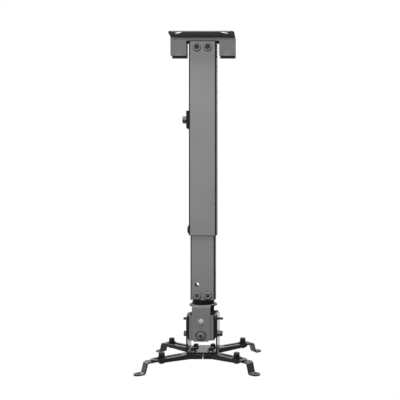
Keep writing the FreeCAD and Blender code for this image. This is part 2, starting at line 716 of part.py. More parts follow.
def make_connector():
    # U bracket in the foot of the inner tube; its web carries the swivel.
    body = new_body("connector")
    thick = SIZE["connector_thick"]
    outside = INNER_DEPTH / 2 - SIZE["inner_wall"] - SIZE["fit_running"]
    reach = outside - thick / 2
    web = -SIZE["inner_bottom"] - thick / 2 - SIZE["fit_running"]
    section = new_sketch(body, "YZ_Plane")
    draw(section, strip_outline(
        [(-reach, -SIZE["connector_top"]), (-reach, web), (reach, web),
         (reach, -SIZE["connector_top"])], thick, 0.6))
    pad(body, section, SIZE["connector_width"], "Dims.connector_width", both=True)
    holes = new_sketch(body, "XZ_Plane")
    for side in (-1, 1):
        draw_circle(holes, side * SIZE["screw_pitch"] / 2, -SIZE["low_screw_level"], M6_BORE)
    pocket(body, holes)
    centre = new_sketch(body, "XY_Plane", web)
    draw_circle(centre, 0, 0, M6_BORE)
    pocket(body, centre, 2 * thick, both=True)
    return body


CONNECTOR_LOW = -SIZE["inner_bottom"] - SIZE["connector_thick"] - SIZE["fit_running"]
CONNECTOR_HIGH = CONNECTOR_LOW + SIZE["connector_thick"]


def make_swivel_bush():
    # Threaded bush welded on the connector's web.
    body = ring("swivel_bush", M6_BORE, SIZE["bush_width"], SIZE["bush_height"])
    return place(body, (0, 0, CONNECTOR_HIGH))


def make_swivel_spacer():
    height = CONNECTOR_LOW + SIZE["yoke_top"] - SIZE["fit_running"]
    body = ring("swivel_spacer", M6_BORE, SIZE["spacer_width"], height)
    return place(body, (0, 0, CONNECTOR_LOW - height))


def make_swivel_bolt():
    under = -SIZE["yoke_top"] - SIZE["yoke_thick"] - SIZE["fit_running"]
    end = CONNECTOR_HIGH + SIZE["bush_height"] + 0.5
    bolt = hexagon_piece("swivel_bolt", SIZE["large_hexagon"], SIZE["swivel_head"], shank=M6,
                         length=end - under)
    return place(bolt, (0, 0, under), (0, 0, -1))


def make_upper_yoke():
    # Disc with a front and a rear cheek bent down; each cheek has a pivot hole and an arc slot.
    body = new_body("upper_yoke")
    thick = SIZE["yoke_thick"]
    reach = SIZE["yoke_depth"] / 2 - thick / 2
    top = -SIZE["yoke_top"]
    low = -SIZE["yoke_bottom"]
    section = new_sketch(body, "YZ_Plane")
    draw(section, strip_outline(
        [(-reach, low), (-reach, top - thick / 2), (reach, top - thick / 2), (reach, low)],
        thick, SIZE["yoke_bend"]))
    pad(body, section, SIZE["yoke_width"], "Dims.yoke_width", both=True)
    disc = new_sketch(body, "XY_Plane", top, "-Dims.yoke_top")
    draw_circle(disc, 0, 0, SIZE["yoke_disc"], "Dims.yoke_disc")
    pad(body, disc, thick, "Dims.yoke_thick", back=True)
    centre = new_sketch(body, "XY_Plane", top, "-Dims.yoke_top")
    draw_circle(centre, 0, 0, M6 + 2 * SIZE["fit_running"])
    pocket(body, centre, 3 * thick, both=True)
    half = SIZE["yoke_width"] / 2
    round_edges(body, SIZE["yoke_clip"],
                lambda e: runs_along(e, "y") and all_at(e, "z", low, 0.01)
                and abs(abs(e.Vertexes[0].Point.x) - half) < 0.01, "Dims.yoke_clip", bevel=True)
    holes = new_sketch(body, "XZ_Plane")
    pivot = -SIZE["pivot_level"]
    draw_circle(holes, 0, pivot, M6_BORE)
    sweep = SIZE["arc_half"]
    draw(holes, arc_slot_outline((0, pivot), SIZE["roll_slot_radius"], -90 - sweep, -90 + sweep,
                                 SIZE["middle_thread"] + 0.4))
    pocket(body, holes)
    return body


def make_roll_rivets():
    # Two domed rivets through the cheeks; the block turns on them.
    face = SIZE["yoke_depth"] / 2
    reach = face - BLOCK_DEPTH / 2 + SIZE["block_wall"] + SIZE["fit_running"]
    flare = -reach - SIZE["rivet_flare"]
    shank = SIZE["rivet_shank"] / 2
    head = SIZE["rivet_head"] / 2
    rise = SIZE["rivet_rise"]
    outline = [
        ((0, flare), (head, flare)), ((head, flare), (head, -reach)),
        ((head, -reach), (shank, -reach)), ((shank, -reach), (shank, 0)),
        ((shank, 0), (head, 0)), ((head, 0), (head, 0.25 * rise)),
        ((head, 0.25 * rise), (0.76 * head, 0.74 * rise), (0.3 * head, rise)),
        ((0.3 * head, rise), (0, rise)), ((0, rise), (0, flare))]
    rivets = []
    for way in (FRONT, REAR):
        rivet = turned("roll_rivet_%d" % len(rivets), outline)
        rivets.append(place(rivet, (0, way[1] * face, -SIZE["pivot_level"]), way))
    return group("roll_rivets", rivets)


ROLL_LOCK_LEVEL = -SIZE["pivot_level"] - SIZE["roll_slot_radius"]
PITCH_LOCK_LEVEL = -SIZE["pivot_level"] - SIZE["pitch_slot_radius"]
M5 = SIZE["middle_thread"]
M5_BORE = M5 + 2 * SIZE["fit_radial"]
M4 = SIZE["small_thread"]
M4_BORE = M4 + 2 * SIZE["fit_radial"]
WASHER = SIZE["washer_thick"]


def make_roll_locks():
    face = SIZE["yoke_depth"] / 2 + SIZE["fit_running"]
    screws = []
    washers = []
    nuts = []
    inner_face = BLOCK_DEPTH / 2 - SIZE["block_wall"]
    length = face + WASHER - inner_face + SIZE["middle_nut"] + 0.3
    for way in (FRONT, REAR):
        washer = ring("roll_washer_%d" % len(washers), M5_BORE, SIZE["roll_washer"], WASHER)
        washers.append(place(washer, (0, way[1] * face, ROLL_LOCK_LEVEL), way))
        screw = button_screw("roll_screw_%d" % len(screws), M5, length, SIZE["roll_screw_head"],
                             SIZE["roll_screw_rise"], SIZE["small_recess"],
                             SIZE["small_recess_depth"])
        screws.append(place(screw, (0, way[1] * (face + WASHER), ROLL_LOCK_LEVEL), way, 20))
        nut = hexagon_piece("roll_nut_%d" % len(nuts), SIZE["middle_hexagon"],
                            SIZE["middle_nut"], bore=M5_BORE)
        back = (0, -way[1], 0)
        nuts.append(place(nut, (0, way[1] * inner_face, ROLL_LOCK_LEVEL), back))
    return (group("roll_lock_screws", screws), group("roll_lock_washers", washers),
            group("roll_lock_nuts", nuts))


def make_tilt_block():
    # Square box open above and below, between the two yokes.
    body = new_body("tilt_block")
    sketch = new_sketch(body, "XY_Plane", -SIZE["block_bottom"], "-Dims.block_bottom")
    w = SIZE["block_width"]
    d = BLOCK_DEPTH
    wall = SIZE["block_wall"]
    corner = SIZE["block_corner"]
    draw(sketch, rounded_rectangle(w, d, corner))
    draw(sketch, rounded_rectangle(w - 2 * wall, d - 2 * wall, corner - wall))
    pad(body, sketch, SIZE["block_bottom"] - SIZE["block_top"],
        "Dims.block_bottom - Dims.block_top")
    front = new_sketch(body, "XZ_Plane")
    pivot = -SIZE["pivot_level"]
    draw_circle(front, 0, pivot, M6 + 2 * SIZE["fit_running"])
    draw_circle(front, 0, ROLL_LOCK_LEVEL, M5_BORE)
    pocket(body, front)
    side = new_sketch(body, "YZ_Plane")
    draw_circle(side, 0, pivot, M4_BORE)
    draw_circle(side, 0, PITCH_LOCK_LEVEL, M4_BORE)
    pocket(body, side)
    # the side walls drop away between the pivot and the front and rear walls
    shoulders = new_sketch(body, "YZ_Plane")
    high = -SIZE["block_top"]
    drop = high - SIZE["block_shoulder"]
    wide = d / 2 - corner
    ledge = SIZE["block_ledge"]
    ramp = SIZE["block_ramp"]
    for sign in (-1, 1):
        draw_polygon(shoulders, [
            (sign * ledge, high + 1), (sign * (ledge + ramp), high),
            (sign * (wide - ramp), drop), (sign * wide, drop), (sign * wide, high + 1)])
    pocket(body, shoulders)
    # the lower corners of the front and rear walls are clipped
    corners = new_sketch(body, "XZ_Plane")
    low = -SIZE["block_bottom"]
    for sign in (-1, 1):
        outer = sign * (w / 2 + 1)
        inner = outer - sign * SIZE["block_clip"]
        draw_polygon(corners, [(outer, low - 1), (inner, low - 1), (outer, low + SIZE["block_clip"])])
    pocket(body, corners)
    return body


def make_pitch_pin():
    # Long pin through the block and both cheeks of the cradle.
    body = new_body("pitch_pin")
    sketch = new_sketch(body, "YZ_Plane")
    draw_circle(sketch, 0, -SIZE["pivot_level"], M4)
    pad(body, sketch, CRADLE_WIDTH + 2 * SIZE["pin_reach"], both=True)
    round_edges(body, 0.5, lambda e: len(e.Vertexes) == 1, bevel=True)
    return body


def make_pitch_locks():
    face = CRADLE_WIDTH / 2 + SIZE["fit_running"]
    bolts = []
    washers = []
    nuts = []
    inner_face = SIZE["block_width"] / 2 - SIZE["block_wall"]
    washer_rise = SIZE["pitch_washer_thick"]
    head = face + washer_rise
    length = head - inner_face + SIZE["small_nut"] + 0.5
    for way in (LEFT, RIGHT):
        washer = ring("pitch_washer_%d" % len(washers), M4_BORE, SIZE["pitch_washer"], washer_rise)
        washers.append(place(washer, (way[0] * face, 0, PITCH_LOCK_LEVEL), way))
        bolt = hexagon_piece("pitch_bolt_%d" % len(bolts), SIZE["pitch_hexagon"],
                             SIZE["pitch_head"], shank=M4, length=length)
        bolts.append(place(bolt, (way[0] * head, 0, PITCH_LOCK_LEVEL), way, 90))
        nut = hexagon_piece("pitch_nut_%d" % len(nuts), SIZE["small_hexagon"], SIZE["small_nut"],
                            bore=M4_BORE)
        back = (-way[0], 0, 0)
        nuts.append(place(nut, (way[0] * inner_face, 0, PITCH_LOCK_LEVEL), back))
    return (group("pitch_lock_bolts", bolts), group("pitch_lock_washers", washers),
            group("pitch_lock_nuts", nuts))


def make_lower_yoke():
    # Cradle: a base plate with a left and a right cheek bent up.
    body = new_body("lower_yoke")
    thick = SIZE["base_thick"]
    reach = CRADLE_WIDTH / 2 - thick / 2
    base = -SIZE["base_level"]
    top = -SIZE["cradle_top"]
    half = SIZE["cradle_depth"] / 2
    section = new_sketch(body, "XZ_Plane")
    draw(section, strip_outline(
        [(-reach, top + 1), (-reach, base - thick / 2), (reach, base - thick / 2), (reach, top + 1)],
        thick, SIZE["yoke_bend"]))
    pad(body, section, SIZE["cradle_depth"], "Dims.cradle_depth", both=True)
    lobes = new_sketch(body, "XY_Plane", base, "-Dims.base_level")
    deep = SIZE["base_depth"] / 2
    wide = CRADLE_WIDTH / 2 - SIZE["base_inset"]
    nose = wide - (deep - half) * SIZE["base_slant"]
    inside = CRADLE_WIDTH / 2 - SIZE["base_root"]
    draw_polygon(lobes, [
        (inside, -half), (wide, -half), (nose, -deep), (-nose, -deep), (-wide, -half),
        (-inside, -half), (-inside, half), (-wide, half), (-nose, deep), (nose, deep),
        (wide, half), (inside, half)])
    pad(body, lobes, thick, "Dims.base_thick", back=True)
    # both cheeks end in a shallow arch
    arch = new_sketch(body, "YZ_Plane")
    side = half + 0.5
    foot = top - SIZE["cradle_arch"]
    draw(arch, [((-side, foot), (0, top), (side, foot)), ((side, foot), (side, top + 2)),
                ((side, top + 2), (-side, top + 2)), ((-side, top + 2), (-side, foot))])
    pocket(body, arch)
    holes = new_sketch(body, "YZ_Plane")
    pivot = -SIZE["pivot_level"]
    draw_circle(holes, 0, pivot, M4 + 2 * SIZE["fit_running"])
    sweep = SIZE["arc_half"]
    draw(holes, arc_slot_outline((0, pivot), SIZE["pitch_slot_radius"], -90 - sweep, -90 + sweep,
                                 SIZE["small_thread"] + 0.4))
    pocket(body, holes)
    screws = new_sketch(body, "XY_Plane", base, "-Dims.base_level")
    for sx in (-1, 1):
        for sy in (-1, 1):
            draw_circle(screws, sx * SIZE["arm_pivot_x"], sy * SIZE["arm_pivot_y"], M4 + 0.2)
    pocket(body, screws, 3 * thick, both=True)
    return body


# Arms and feet.

ARM_TOP = -SIZE["base_level"] - SIZE["base_thick"]
ARM_LOW = ARM_TOP - SIZE["arm_flange"]
ARM_UNDER = ARM_TOP - SIZE["arm_sheet"]


def arm_point(sy, along, across):
    # A point beside one arm of the right-hand plate: across is positive away from the middle.
    turn = math.radians(SIZE["arm_angle"])
    x = SIZE["arm_pivot_x"] + along * math.cos(turn) - across * math.sin(turn)
    y = SIZE["arm_pivot_y"] + along * math.sin(turn) + across * math.cos(turn)
    return (x, sy * y)


def arm_outline(side, margin):
    # Outline of a forked plate, moved inwards by the margin: a head with two arms. The two heads
    # meet at a seam that stands right of the middle.
    turn = math.radians(SIZE["arm_angle"])
    c = math.cos(turn)
    s = math.sin(turn)
    half = SIZE["arm_width"] / 2 - margin
    edge_y = SIZE["arm_head_y"] - margin
    near = side * SIZE["arm_seam"] + SIZE["arm_gap"] + margin
    far = SIZE["arm_head_x"] - margin
    tip = SIZE["arm_tip_centre"]
    start = (edge_y - SIZE["arm_pivot_y"] - half * c) / s
    inner = (far - SIZE["arm_pivot_x"] - half * s) / c
    front = []
    for sy in (-1, 1):
        a = arm_point(sy, start, half)
        b = arm_point(sy, tip, half)
        m = arm_point(sy, tip + half, 0)
        d = arm_point(sy, tip, -half)
        e = arm_point(sy, inner, -half)
        front.append((a, b, m, d, e))
    a, b, m, d, e = front[0]
    a2, b2, m2, d2, e2 = front[1]
    segments = [
        ((near, -edge_y), a), (a, b), (b, m, d), (d, e), (e, e2), (e2, d2), (d2, m2, b2), (b2, a2),
        (a2, (near, edge_y)), ((near, edge_y), (near, -edge_y))]
    return [tuple((side * p[0], p[1]) for p in segment) for segment in segments]


def make_arm_plate(label, side):
    # Forked channel plate: flanges all round, apart from the two arm tips, and a slot in each arm.
    body = new_body(label)
    outline = new_sketch(body, "XY_Plane", ARM_TOP, "-Dims.base_level - Dims.base_thick")
    draw(outline, arm_outline(side, 0.0))
    pad(body, outline, SIZE["arm_flange"], "Dims.arm_flange", back=True)
    round_edges(body, SIZE["arm_round"], lambda e: all_at(e, "z", ARM_TOP, 0.01),
                "Dims.arm_round")
    hollow = new_sketch(body, "XY_Plane", ARM_LOW,
                        "-Dims.base_level - Dims.base_thick - Dims.arm_flange")
    draw(hollow, arm_outline(side, SIZE["arm_sheet"]))
    depth = SIZE["arm_flange"] - SIZE["arm_sheet"]
    pocket(body, hollow, depth, "Dims.arm_flange - Dims.arm_sheet", back=True)
    tips = new_sketch(body, "XY_Plane", ARM_LOW,
                      "-Dims.base_level - Dims.base_thick - Dims.arm_flange")
    end = SIZE["arm_tip_centre"] - SIZE["arm_tip_open"]
    wide = 0.75 * SIZE["arm_width"]
    past = end + SIZE["arm_width"]
    for sy in (-1, 1):
        corners = [(end, -wide), (past, -wide), (past, wide), (end, wide)]
        draw_polygon(tips, [
            (side * arm_point(sy, u, v)[0], arm_point(sy, u, v)[1]) for u, v in corners])
    pocket(body, tips, depth, "Dims.arm_flange - Dims.arm_sheet", back=True)
    # the flanges get lower towards the tips: a shallow cone about the column's axis trims them
    cone = new_sketch(body, "XZ_Plane")
    slope = (SIZE["arm_flange"] - SIZE["arm_flange_end"]) / SIZE["arm_trim_run"]
    begin = SIZE["arm_trim_start"]
    outside = begin + 1.25 * SIZE["arm_trim_run"]
    draw_polygon(cone, [(begin, ARM_LOW), (outside, ARM_LOW + (outside - begin) * slope),
                        (outside, ARM_LOW - 3), (begin, ARM_LOW - 3)])
    groove = body.newObject("PartDesign::Groove", "Groove")
    groove.Profile = cone
    groove.ReferenceAxis = (cone, ["V_Axis"])
    groove.Angle = 360.0
    doc.recompute()
    slots = new_sketch(body, "XY_Plane", ARM_TOP)
    for sy in (-1, 1):
        a = arm_point(sy, SIZE["arm_slot_start"], 0)
        b = arm_point(sy, SIZE["arm_slot_end"], 0)
        draw(slots, slot_outline((side * a[0], a[1]), (side * b[0], b[1]), SIZE["arm_slot_width"]))
        draw_circle(slots, side * SIZE["arm_pivot_x"], sy * SIZE["arm_pivot_y"], M4 + 0.2)
    pocket(body, slots)
    return body


def make_base_fasteners():
    # Four low cap screws with a flat washer above the base plate and a nut below the arms.
    screws = []
    flats = []
    nuts = []
    base = -SIZE["base_level"]
    rise = SIZE["base_washer_thick"]
    for sx in (-1, 1):
        for sy in (-1, 1):
            at = (sx * SIZE["arm_pivot_x"], sy * SIZE["arm_pivot_y"])
            count = len(screws)
            flat_washer = ring("base_flat_%d" % count, M4_BORE, SIZE["base_washer"], rise)
            flats.append(place(flat_washer, at + (base,)))
            screw = cap_screw("base_screw_%d" % count, M4, SIZE["base_screw_length"],
                              SIZE["base_screw_head"], SIZE["base_screw_rise"],
                              SIZE["small_recess"], SIZE["small_recess_depth"])
            screws.append(place(screw, at + (base + rise,), None, 25 * count))
            nut = hexagon_piece("base_nut_%d" % count, SIZE["small_hexagon"], SIZE["small_nut"],
                                bore=M4_BORE)
            nuts.append(place(nut, at + (ARM_UNDER,), (0, 0, -1), 15 * count))
    return (group("base_screws", screws), group("base_washers", flats),
            group("base_nuts", nuts))


def foot_frame(sx, sy):
    # Frame of one arm: origin at the arm's screw, +X outward along the arm.
    angle = SIZE["arm_angle"] * sy
    if sx < 0:
        angle = 180.0 - angle
    return Placement(Vector(sx * SIZE["arm_pivot_x"], sy * SIZE["arm_pivot_y"], 0),
                     Rotation(Vector(0, 0, 1), angle))


def foot_stations(sy):
    # How far out along the arm the foot's screw and its projector hole stand.
    if sy < 0:
        return SIZE["front_screw_at"], SIZE["front_hole_at"]
    return SIZE["rear_screw_at"], SIZE["rear_hole_at"]


def make_foot(name, sx, sy):
    # Bent strip under the arm: slotted tail, leaning riser and a round pad with the projector hole.
    body = new_body("foot_" + name)
    thick = SIZE["foot_thick"]
    half = SIZE["foot_width"] / 2
    high = ARM_UNDER - SIZE["fit_running"] - thick / 2
    low = -SIZE["foot_pad_level"] - thick / 2
    end = foot_stations(sy)[1]
    tail = end - SIZE["foot_slot_far"] - SIZE["foot_tail_end"]
    tip = end + half
    knee = end - SIZE["foot_riser"]
    section = new_sketch(body, "XZ_Plane")
    draw(section, strip_outline(
        [(tail, high), (knee, high), (knee + SIZE["foot_lean"], low), (tip, low)],
        thick, SIZE["foot_bend"]))
    pad(body, section, SIZE["foot_width"], "Dims.foot_width", both=True)
    trim = new_sketch(body, "XY_Plane")
    draw_polygon(trim, [(tail - 5, -half - 5), (tip + 5, -half - 5), (tip + 5, half + 5),
                        (tail - 5, half + 5)])
    nose = SIZE["foot_corner"]
    cut = nose * (1 - math.sqrt(0.5))
    draw(trim, [
        ((tail + nose, -half), (end, -half)), ((end, -half), (tip, 0), (end, half)),
        ((end, half), (tail + nose, half)),
        ((tail + nose, half), (tail + cut, half - cut), (tail, half - nose)),
        ((tail, half - nose), (tail, nose - half)),
        ((tail, nose - half), (tail + cut, cut - half), (tail + nose, -half))])
    pocket(body, trim)
    holes = new_sketch(body, "XY_Plane")
    draw(holes, slot_outline((end - SIZE["foot_slot_far"], 0), (end - SIZE["foot_slot_near"], 0),
                             SIZE["arm_slot_width"]))
    draw_circle(holes, end, 0, SIZE["foot_hole"], "Dims.foot_hole")
    pocket(body, holes)
    body.Placement = foot_frame(sx, sy)
    return body


def make_foot_fastener(name, sx, sy):
    # Cap screw with a spring and a flat washer on the arm and a nut under the foot's tail.
    frame = foot_frame(sx, sy)
    level = ARM_TOP + SIZE["fit_running"]
    at = foot_stations(sy)[0]

    def lift(body, height, spin, over=False):
        turn = Rotation(Vector(0, 0, 1), spin)
        if over:
            turn = Rotation(Vector(1, 0, 0), 180).multiply(turn)
        body.Placement = frame.multiply(Placement(Vector(at, 0, height), turn))
        return body
    flat_washer = lift(ring("foot_flat_washer_" + name, M5_BORE, SIZE["foot_washer"], WASHER),
                       level, 0)
    spring_rise = SIZE["spring_washer_thick"]
    spring = lift(split_ring("foot_spring_washer_" + name, M5_BORE, SIZE["spring_washer"],
                             spring_rise, SIZE["spring_washer_gap"]), level + WASHER, 70)
    screw = lift(cap_screw("foot_screw_" + name, M5, SIZE["foot_screw_length"],
                           SIZE["foot_screw_head"], SIZE["foot_screw_rise"],
                           SIZE["foot_recess"], SIZE["foot_recess_depth"]),
                 level + WASHER + spring_rise, 10)
    under = ARM_UNDER - SIZE["fit_running"] - SIZE["foot_thick"]
    nut = lift(hexagon_piece("foot_nut_" + name, SIZE["middle_hexagon"], SIZE["foot_nut_height"],
                             bore=M5_BORE), under, 30, True)
    return screw, flat_washer, spring, nut


# The assembly.

keep(make_ceiling_plate())
keep(make_saddle())
keep(make_socket())
keep(make_socket_nuts())
keep(make_outer_column())
keep(column_screws("top_screws", SIZE["tube_depth"] / 2, -SIZE["top_screw_level"],
                   SIZE["top_screw_length"]))
keep(make_guide_plug())
keep(make_inner_column())
keep(make_glide_cap())
keep(make_clamp_pad())
keep(make_lock_bolt())
keep(make_lock_nut_plate())
keep(make_connector())
keep(column_screws("low_screws", INNER_DEPTH / 2, -SIZE["low_screw_level"],
                   SIZE["low_screw_length"]))
keep(make_swivel_bush())
keep(make_swivel_spacer())
keep(make_swivel_bolt())
keep(make_upper_yoke())
keep(make_roll_rivets())
for item in make_roll_locks():
    keep(item)
keep(make_tilt_block())
keep(make_pitch_pin())
for item in make_pitch_locks():
    keep(item)
keep(make_lower_yoke())
keep(make_arm_plate("arm_plate_left", -1))
keep(make_arm_plate("arm_plate_right", 1))
for item in make_base_fasteners():
    keep(item)
for name, sx, sy in (("front_left", -1, -1), ("front_right", 1, -1),
                     ("rear_left", -1, 1), ("rear_right", 1, 1)):
    keep(make_foot(name, sx, sy))
    for item in make_foot_fastener(name, sx, sy):
        keep(item)

doc.recompute()
for item in doc.Objects:
    if "Invalid" in item.State or "Error" in item.State:
        raise RuntimeError("failed object: " + item.Label)
for item in NODES:
    if item.Shape.isNull() or not item.Shape.isValid():
        raise RuntimeError("bad shape: " + item.Label)
for item in NODES:
    item.Shape.exportStep("parts/%s.step" % item.Label)
print(len(NODES), "parts written")
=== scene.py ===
import json
import math

import bmesh
import bpy
import numpy as np
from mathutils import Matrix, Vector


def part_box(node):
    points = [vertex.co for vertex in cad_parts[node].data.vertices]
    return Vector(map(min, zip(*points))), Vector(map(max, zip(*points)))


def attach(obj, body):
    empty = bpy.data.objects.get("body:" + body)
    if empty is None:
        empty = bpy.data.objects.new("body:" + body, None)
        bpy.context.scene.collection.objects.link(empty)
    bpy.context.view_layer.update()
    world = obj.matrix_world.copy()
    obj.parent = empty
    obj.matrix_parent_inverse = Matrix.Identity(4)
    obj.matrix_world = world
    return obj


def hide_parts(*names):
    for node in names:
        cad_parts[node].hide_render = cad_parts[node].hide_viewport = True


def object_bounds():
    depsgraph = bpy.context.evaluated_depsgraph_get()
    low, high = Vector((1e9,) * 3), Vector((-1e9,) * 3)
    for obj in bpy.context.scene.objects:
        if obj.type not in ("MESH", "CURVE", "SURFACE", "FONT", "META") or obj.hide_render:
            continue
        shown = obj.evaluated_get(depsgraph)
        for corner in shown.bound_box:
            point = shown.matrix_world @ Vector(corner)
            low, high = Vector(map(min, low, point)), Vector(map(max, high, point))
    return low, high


# Looks of a projector ceiling mount: powder-coated sheet steel and tube, gloss black cradle and feet,
# dark and plated fasteners, black moulded plastic. Metres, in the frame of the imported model: +Z up,
# -Y front, +X right.

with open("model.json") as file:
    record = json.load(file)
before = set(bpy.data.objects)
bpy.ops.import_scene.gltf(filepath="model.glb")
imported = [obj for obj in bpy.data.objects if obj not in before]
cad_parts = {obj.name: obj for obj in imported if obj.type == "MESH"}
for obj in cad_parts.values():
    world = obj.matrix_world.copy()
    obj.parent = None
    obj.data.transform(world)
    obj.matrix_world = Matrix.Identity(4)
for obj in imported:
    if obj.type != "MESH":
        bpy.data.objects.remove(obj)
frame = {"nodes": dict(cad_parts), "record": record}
cad_low, cad_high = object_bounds()
NODES = frame["nodes"]
BODY_OF = {
    node: body
    for body, members in frame["record"]["behaviour"]["bodies"].items()
    for node in members
}
FOOT_NAMES = ("front_left", "front_right", "rear_left", "rear_right")
MM = 0.001


def in_scene(name, data):
    """A new object that shows the data, linked to the scene."""
    thing = bpy.data.objects.new(name, data)
    bpy.context.scene.collection.objects.link(thing)
    return thing


# The camera of the photograph: level, looking along +Y from the right of the column. The level point
# is where its axis meets the picture, in pixels from the top left corner.

PHOTO_SIDE = 400
FOCAL_PIXELS = 515.6
LEVEL_POINT = (275.0, 217.0)
SENSOR_MM = 36.0
CAMERA_AT = (0.1056, -0.760, -0.265)
CAMERA_NEAR = 0.01
CAMERA_FAR = 20


def set_camera():
    """Camera on a level axis along +Y. Lens: focal pixels over image side times sensor width.
    Shift: how far the level point stands from the image's middle, over the image's side."""
    data = bpy.data.cameras.new("camera")
    data.sensor_width = SENSOR_MM
    data.lens = FOCAL_PIXELS / PHOTO_SIDE * SENSOR_MM
    data.shift_x = (PHOTO_SIDE / 2 - LEVEL_POINT[0]) / PHOTO_SIDE
    data.shift_y = (LEVEL_POINT[1] - PHOTO_SIDE / 2) / PHOTO_SIDE
    data.clip_start = CAMERA_NEAR
    data.clip_end = CAMERA_FAR
    camera = in_scene("camera", data)
    camera.location = CAMERA_AT
    camera.rotation_euler = (math.pi / 2, 0, 0)
    bpy.context.scene.camera = camera


# Helpers for node trees.

WHITE = (1, 1, 1, 1)
NOISE_LOW = 0.3
NOISE_HIGH = 0.7


def calculate(tree, operation, *values):
    """A sum on values that change over the surface, and on fixed numbers written with a point."""
    node = tree.nodes.new("ShaderNodeMath")
    node.operation = operation
    for socket, value in zip(node.inputs, values):
        if isinstance(value, float):
            socket.default_value = value
        else:
            tree.links.new(value, socket)
    return node.outputs[0]


def remap(tree, value, start, end, at_start, at_end):
    """Runs evenly from one number to another as the value goes from start to end, and no further."""
    node = tree.nodes.new("ShaderNodeMapRange")
    node.inputs["From Min"].default_value = start
    node.inputs["From Max"].default_value = end
    node.inputs["To Min"].default_value = at_start
    node.inputs["To Max"].default_value = at_end
    tree.links.new(value, node.inputs["Value"])
    return node.outputs["Result"]


def split(tree, vector):
    """The X, Y and Z of a vector, as sockets with those names."""
    node = tree.nodes.new("ShaderNodeSeparateXYZ")
    tree.links.new(vector, node.inputs[0])
    return node.outputs


def times(tree, colour, value):
    """Multiplies a colour by a number that changes over the surface."""
    node = tree.nodes.new("ShaderNodeVectorMath")
    node.operation = "SCALE"
    tree.links.new(colour, node.inputs[0])
    tree.links.new(value, node.inputs["Scale"])
    return node.outputs["Vector"]


def noise(tree, point, grain, detail, squeeze=None):
    """Noise with lumps of about the given size in metres, squeezed along an axis if asked."""
    if squeeze:
        mapping = tree.nodes.new("ShaderNodeMapping")
        mapping.inputs["Scale"].default_value = squeeze
        tree.links.new(point, mapping.inputs["Vector"])
        point = mapping.outputs["Vector"]
    node = tree.nodes.new("ShaderNodeTexNoise")
    node.inputs["Scale"].default_value = 1.0 / grain
    node.inputs["Detail"].default_value = detail
    tree.links.new(point, node.inputs["Vector"])
    return node.outputs["Fac"]


def spread(tree, value, low, high):
    """Maps the middle of a noise onto low to high."""
    return remap(tree, value, NOISE_LOW, NOISE_HIGH, low, high)


def grey(level, cool=0.0):
    """A grey of the given level, with a little more blue if asked."""
    return (level, level, level + cool)


def tint(tree, value, dark, light):
    """Blends two colours over the middle of a noise."""
    ramp = tree.nodes.new("ShaderNodeValToRGB")
    ramp.color_ramp.elements[0].position = NOISE_LOW
    ramp.color_ramp.elements[0].color = (*dark, 1)
    ramp.color_ramp.elements[1].position = NOISE_HIGH
    ramp.color_ramp.elements[1].color = (*light, 1)
    tree.links.new(value, ramp.inputs["Fac"])
    return ramp.outputs["Color"]


def relief(tree, shader, value, depth, strength):
    """Bump of the given depth in metres."""
    node = tree.nodes.new("ShaderNodeBump")
    node.inputs["Strength"].default_value = strength
    node.inputs["Distance"].default_value = depth
    tree.links.new(value, node.inputs["Height"])
    tree.links.new(node.outputs["Normal"], shader.inputs["Normal"])


def background_rays(tree):
    """1 for a ray from the camera, off gloss or through a clear material, and 0 for any other."""
    path = tree.nodes.new("ShaderNodeLightPath").outputs
    seen = calculate(tree, "MAXIMUM", path["Is Camera Ray"], path["Is Glossy Ray"])
    return calculate(tree, "MAXIMUM", seen, path["Is Transmission Ray"])


# Light: a plain world and six soft lamps, each turned from its place to the point it is aimed at.

WORLD_DIFFUSE = 0.04
WORLD_SEEN = 1.0
LAMPS = {
    "front_softbox": dict(place=(0.0, -0.78, 0.05), aim=(0.0, 0.0, -0.14),
                          width=0.35, height=0.35, watts=5.7),
    "high_softbox": dict(place=(0.0, -0.42, 1.15), aim=(0.0, 0.0, -0.40),
                         width=0.3, height=0.3, watts=15),
    "top_softbox": dict(place=(0.05, 0.75, 0.80), aim=(0.0, 0.0, -0.42),
                        width=0.7, height=0.6, watts=4),
    "back_softbox": dict(place=(0.0, 0.9, 0.30), aim=(0.0, 0.0, -0.25),
                         width=0.4, height=0.4, watts=3),
    "left_softbox": dict(place=(-0.95, 0.55, 0.20), aim=(0.0, 0.0, -0.25),
                         width=0.4, height=0.4, watts=6),
    "right_softbox": dict(place=(0.95, 0.55, 0.20), aim=(0.0, 0.0, -0.25),
                          width=0.4, height=0.4, watts=6),
}


def softbox(name, place, aim, width, height, watts):
    """Rectangular soft lamp at a place, turned to a point: its -Z axis runs from place to aim."""
    data = bpy.data.lights.new(name, "AREA")
    data.shape = "RECTANGLE"
    data.size = width
    data.size_y = height
    data.energy = watts
    lamp = in_scene(name, data)
    lamp.location = place
    way = np.array(aim) - np.array(place)
    heading = math.atan2(way[1], way[0]) - math.pi / 2
    drop = math.atan2(-way[2], math.hypot(way[0], way[1]))
    lamp.rotation_euler = (math.pi / 2 - drop, 0, heading)


def light_world():
    """White where it is seen or reflected, and a plain low level where it lights the mount."""
    world = bpy.data.worlds.new("studio")
    world.use_nodes = True
    tree = world.node_tree
    tree.nodes.clear()
    out = tree.nodes.new("ShaderNodeOutputWorld")
    shade = tree.nodes.new("ShaderNodeBackground")
    shade.inputs["Color"].default_value = WHITE
    level = remap(tree, background_rays(tree), 0.0, 1.0, WORLD_DIFFUSE, WORLD_SEEN)
    tree.links.new(level, shade.inputs["Strength"])
    tree.links.new(shade.outputs[0], out.inputs["Surface"])
    bpy.context.scene.world = world


def set_lights():
    """The world and every lamp of the table."""
    light_world()
    for name, lamp in LAMPS.items():
        softbox(name, **lamp)
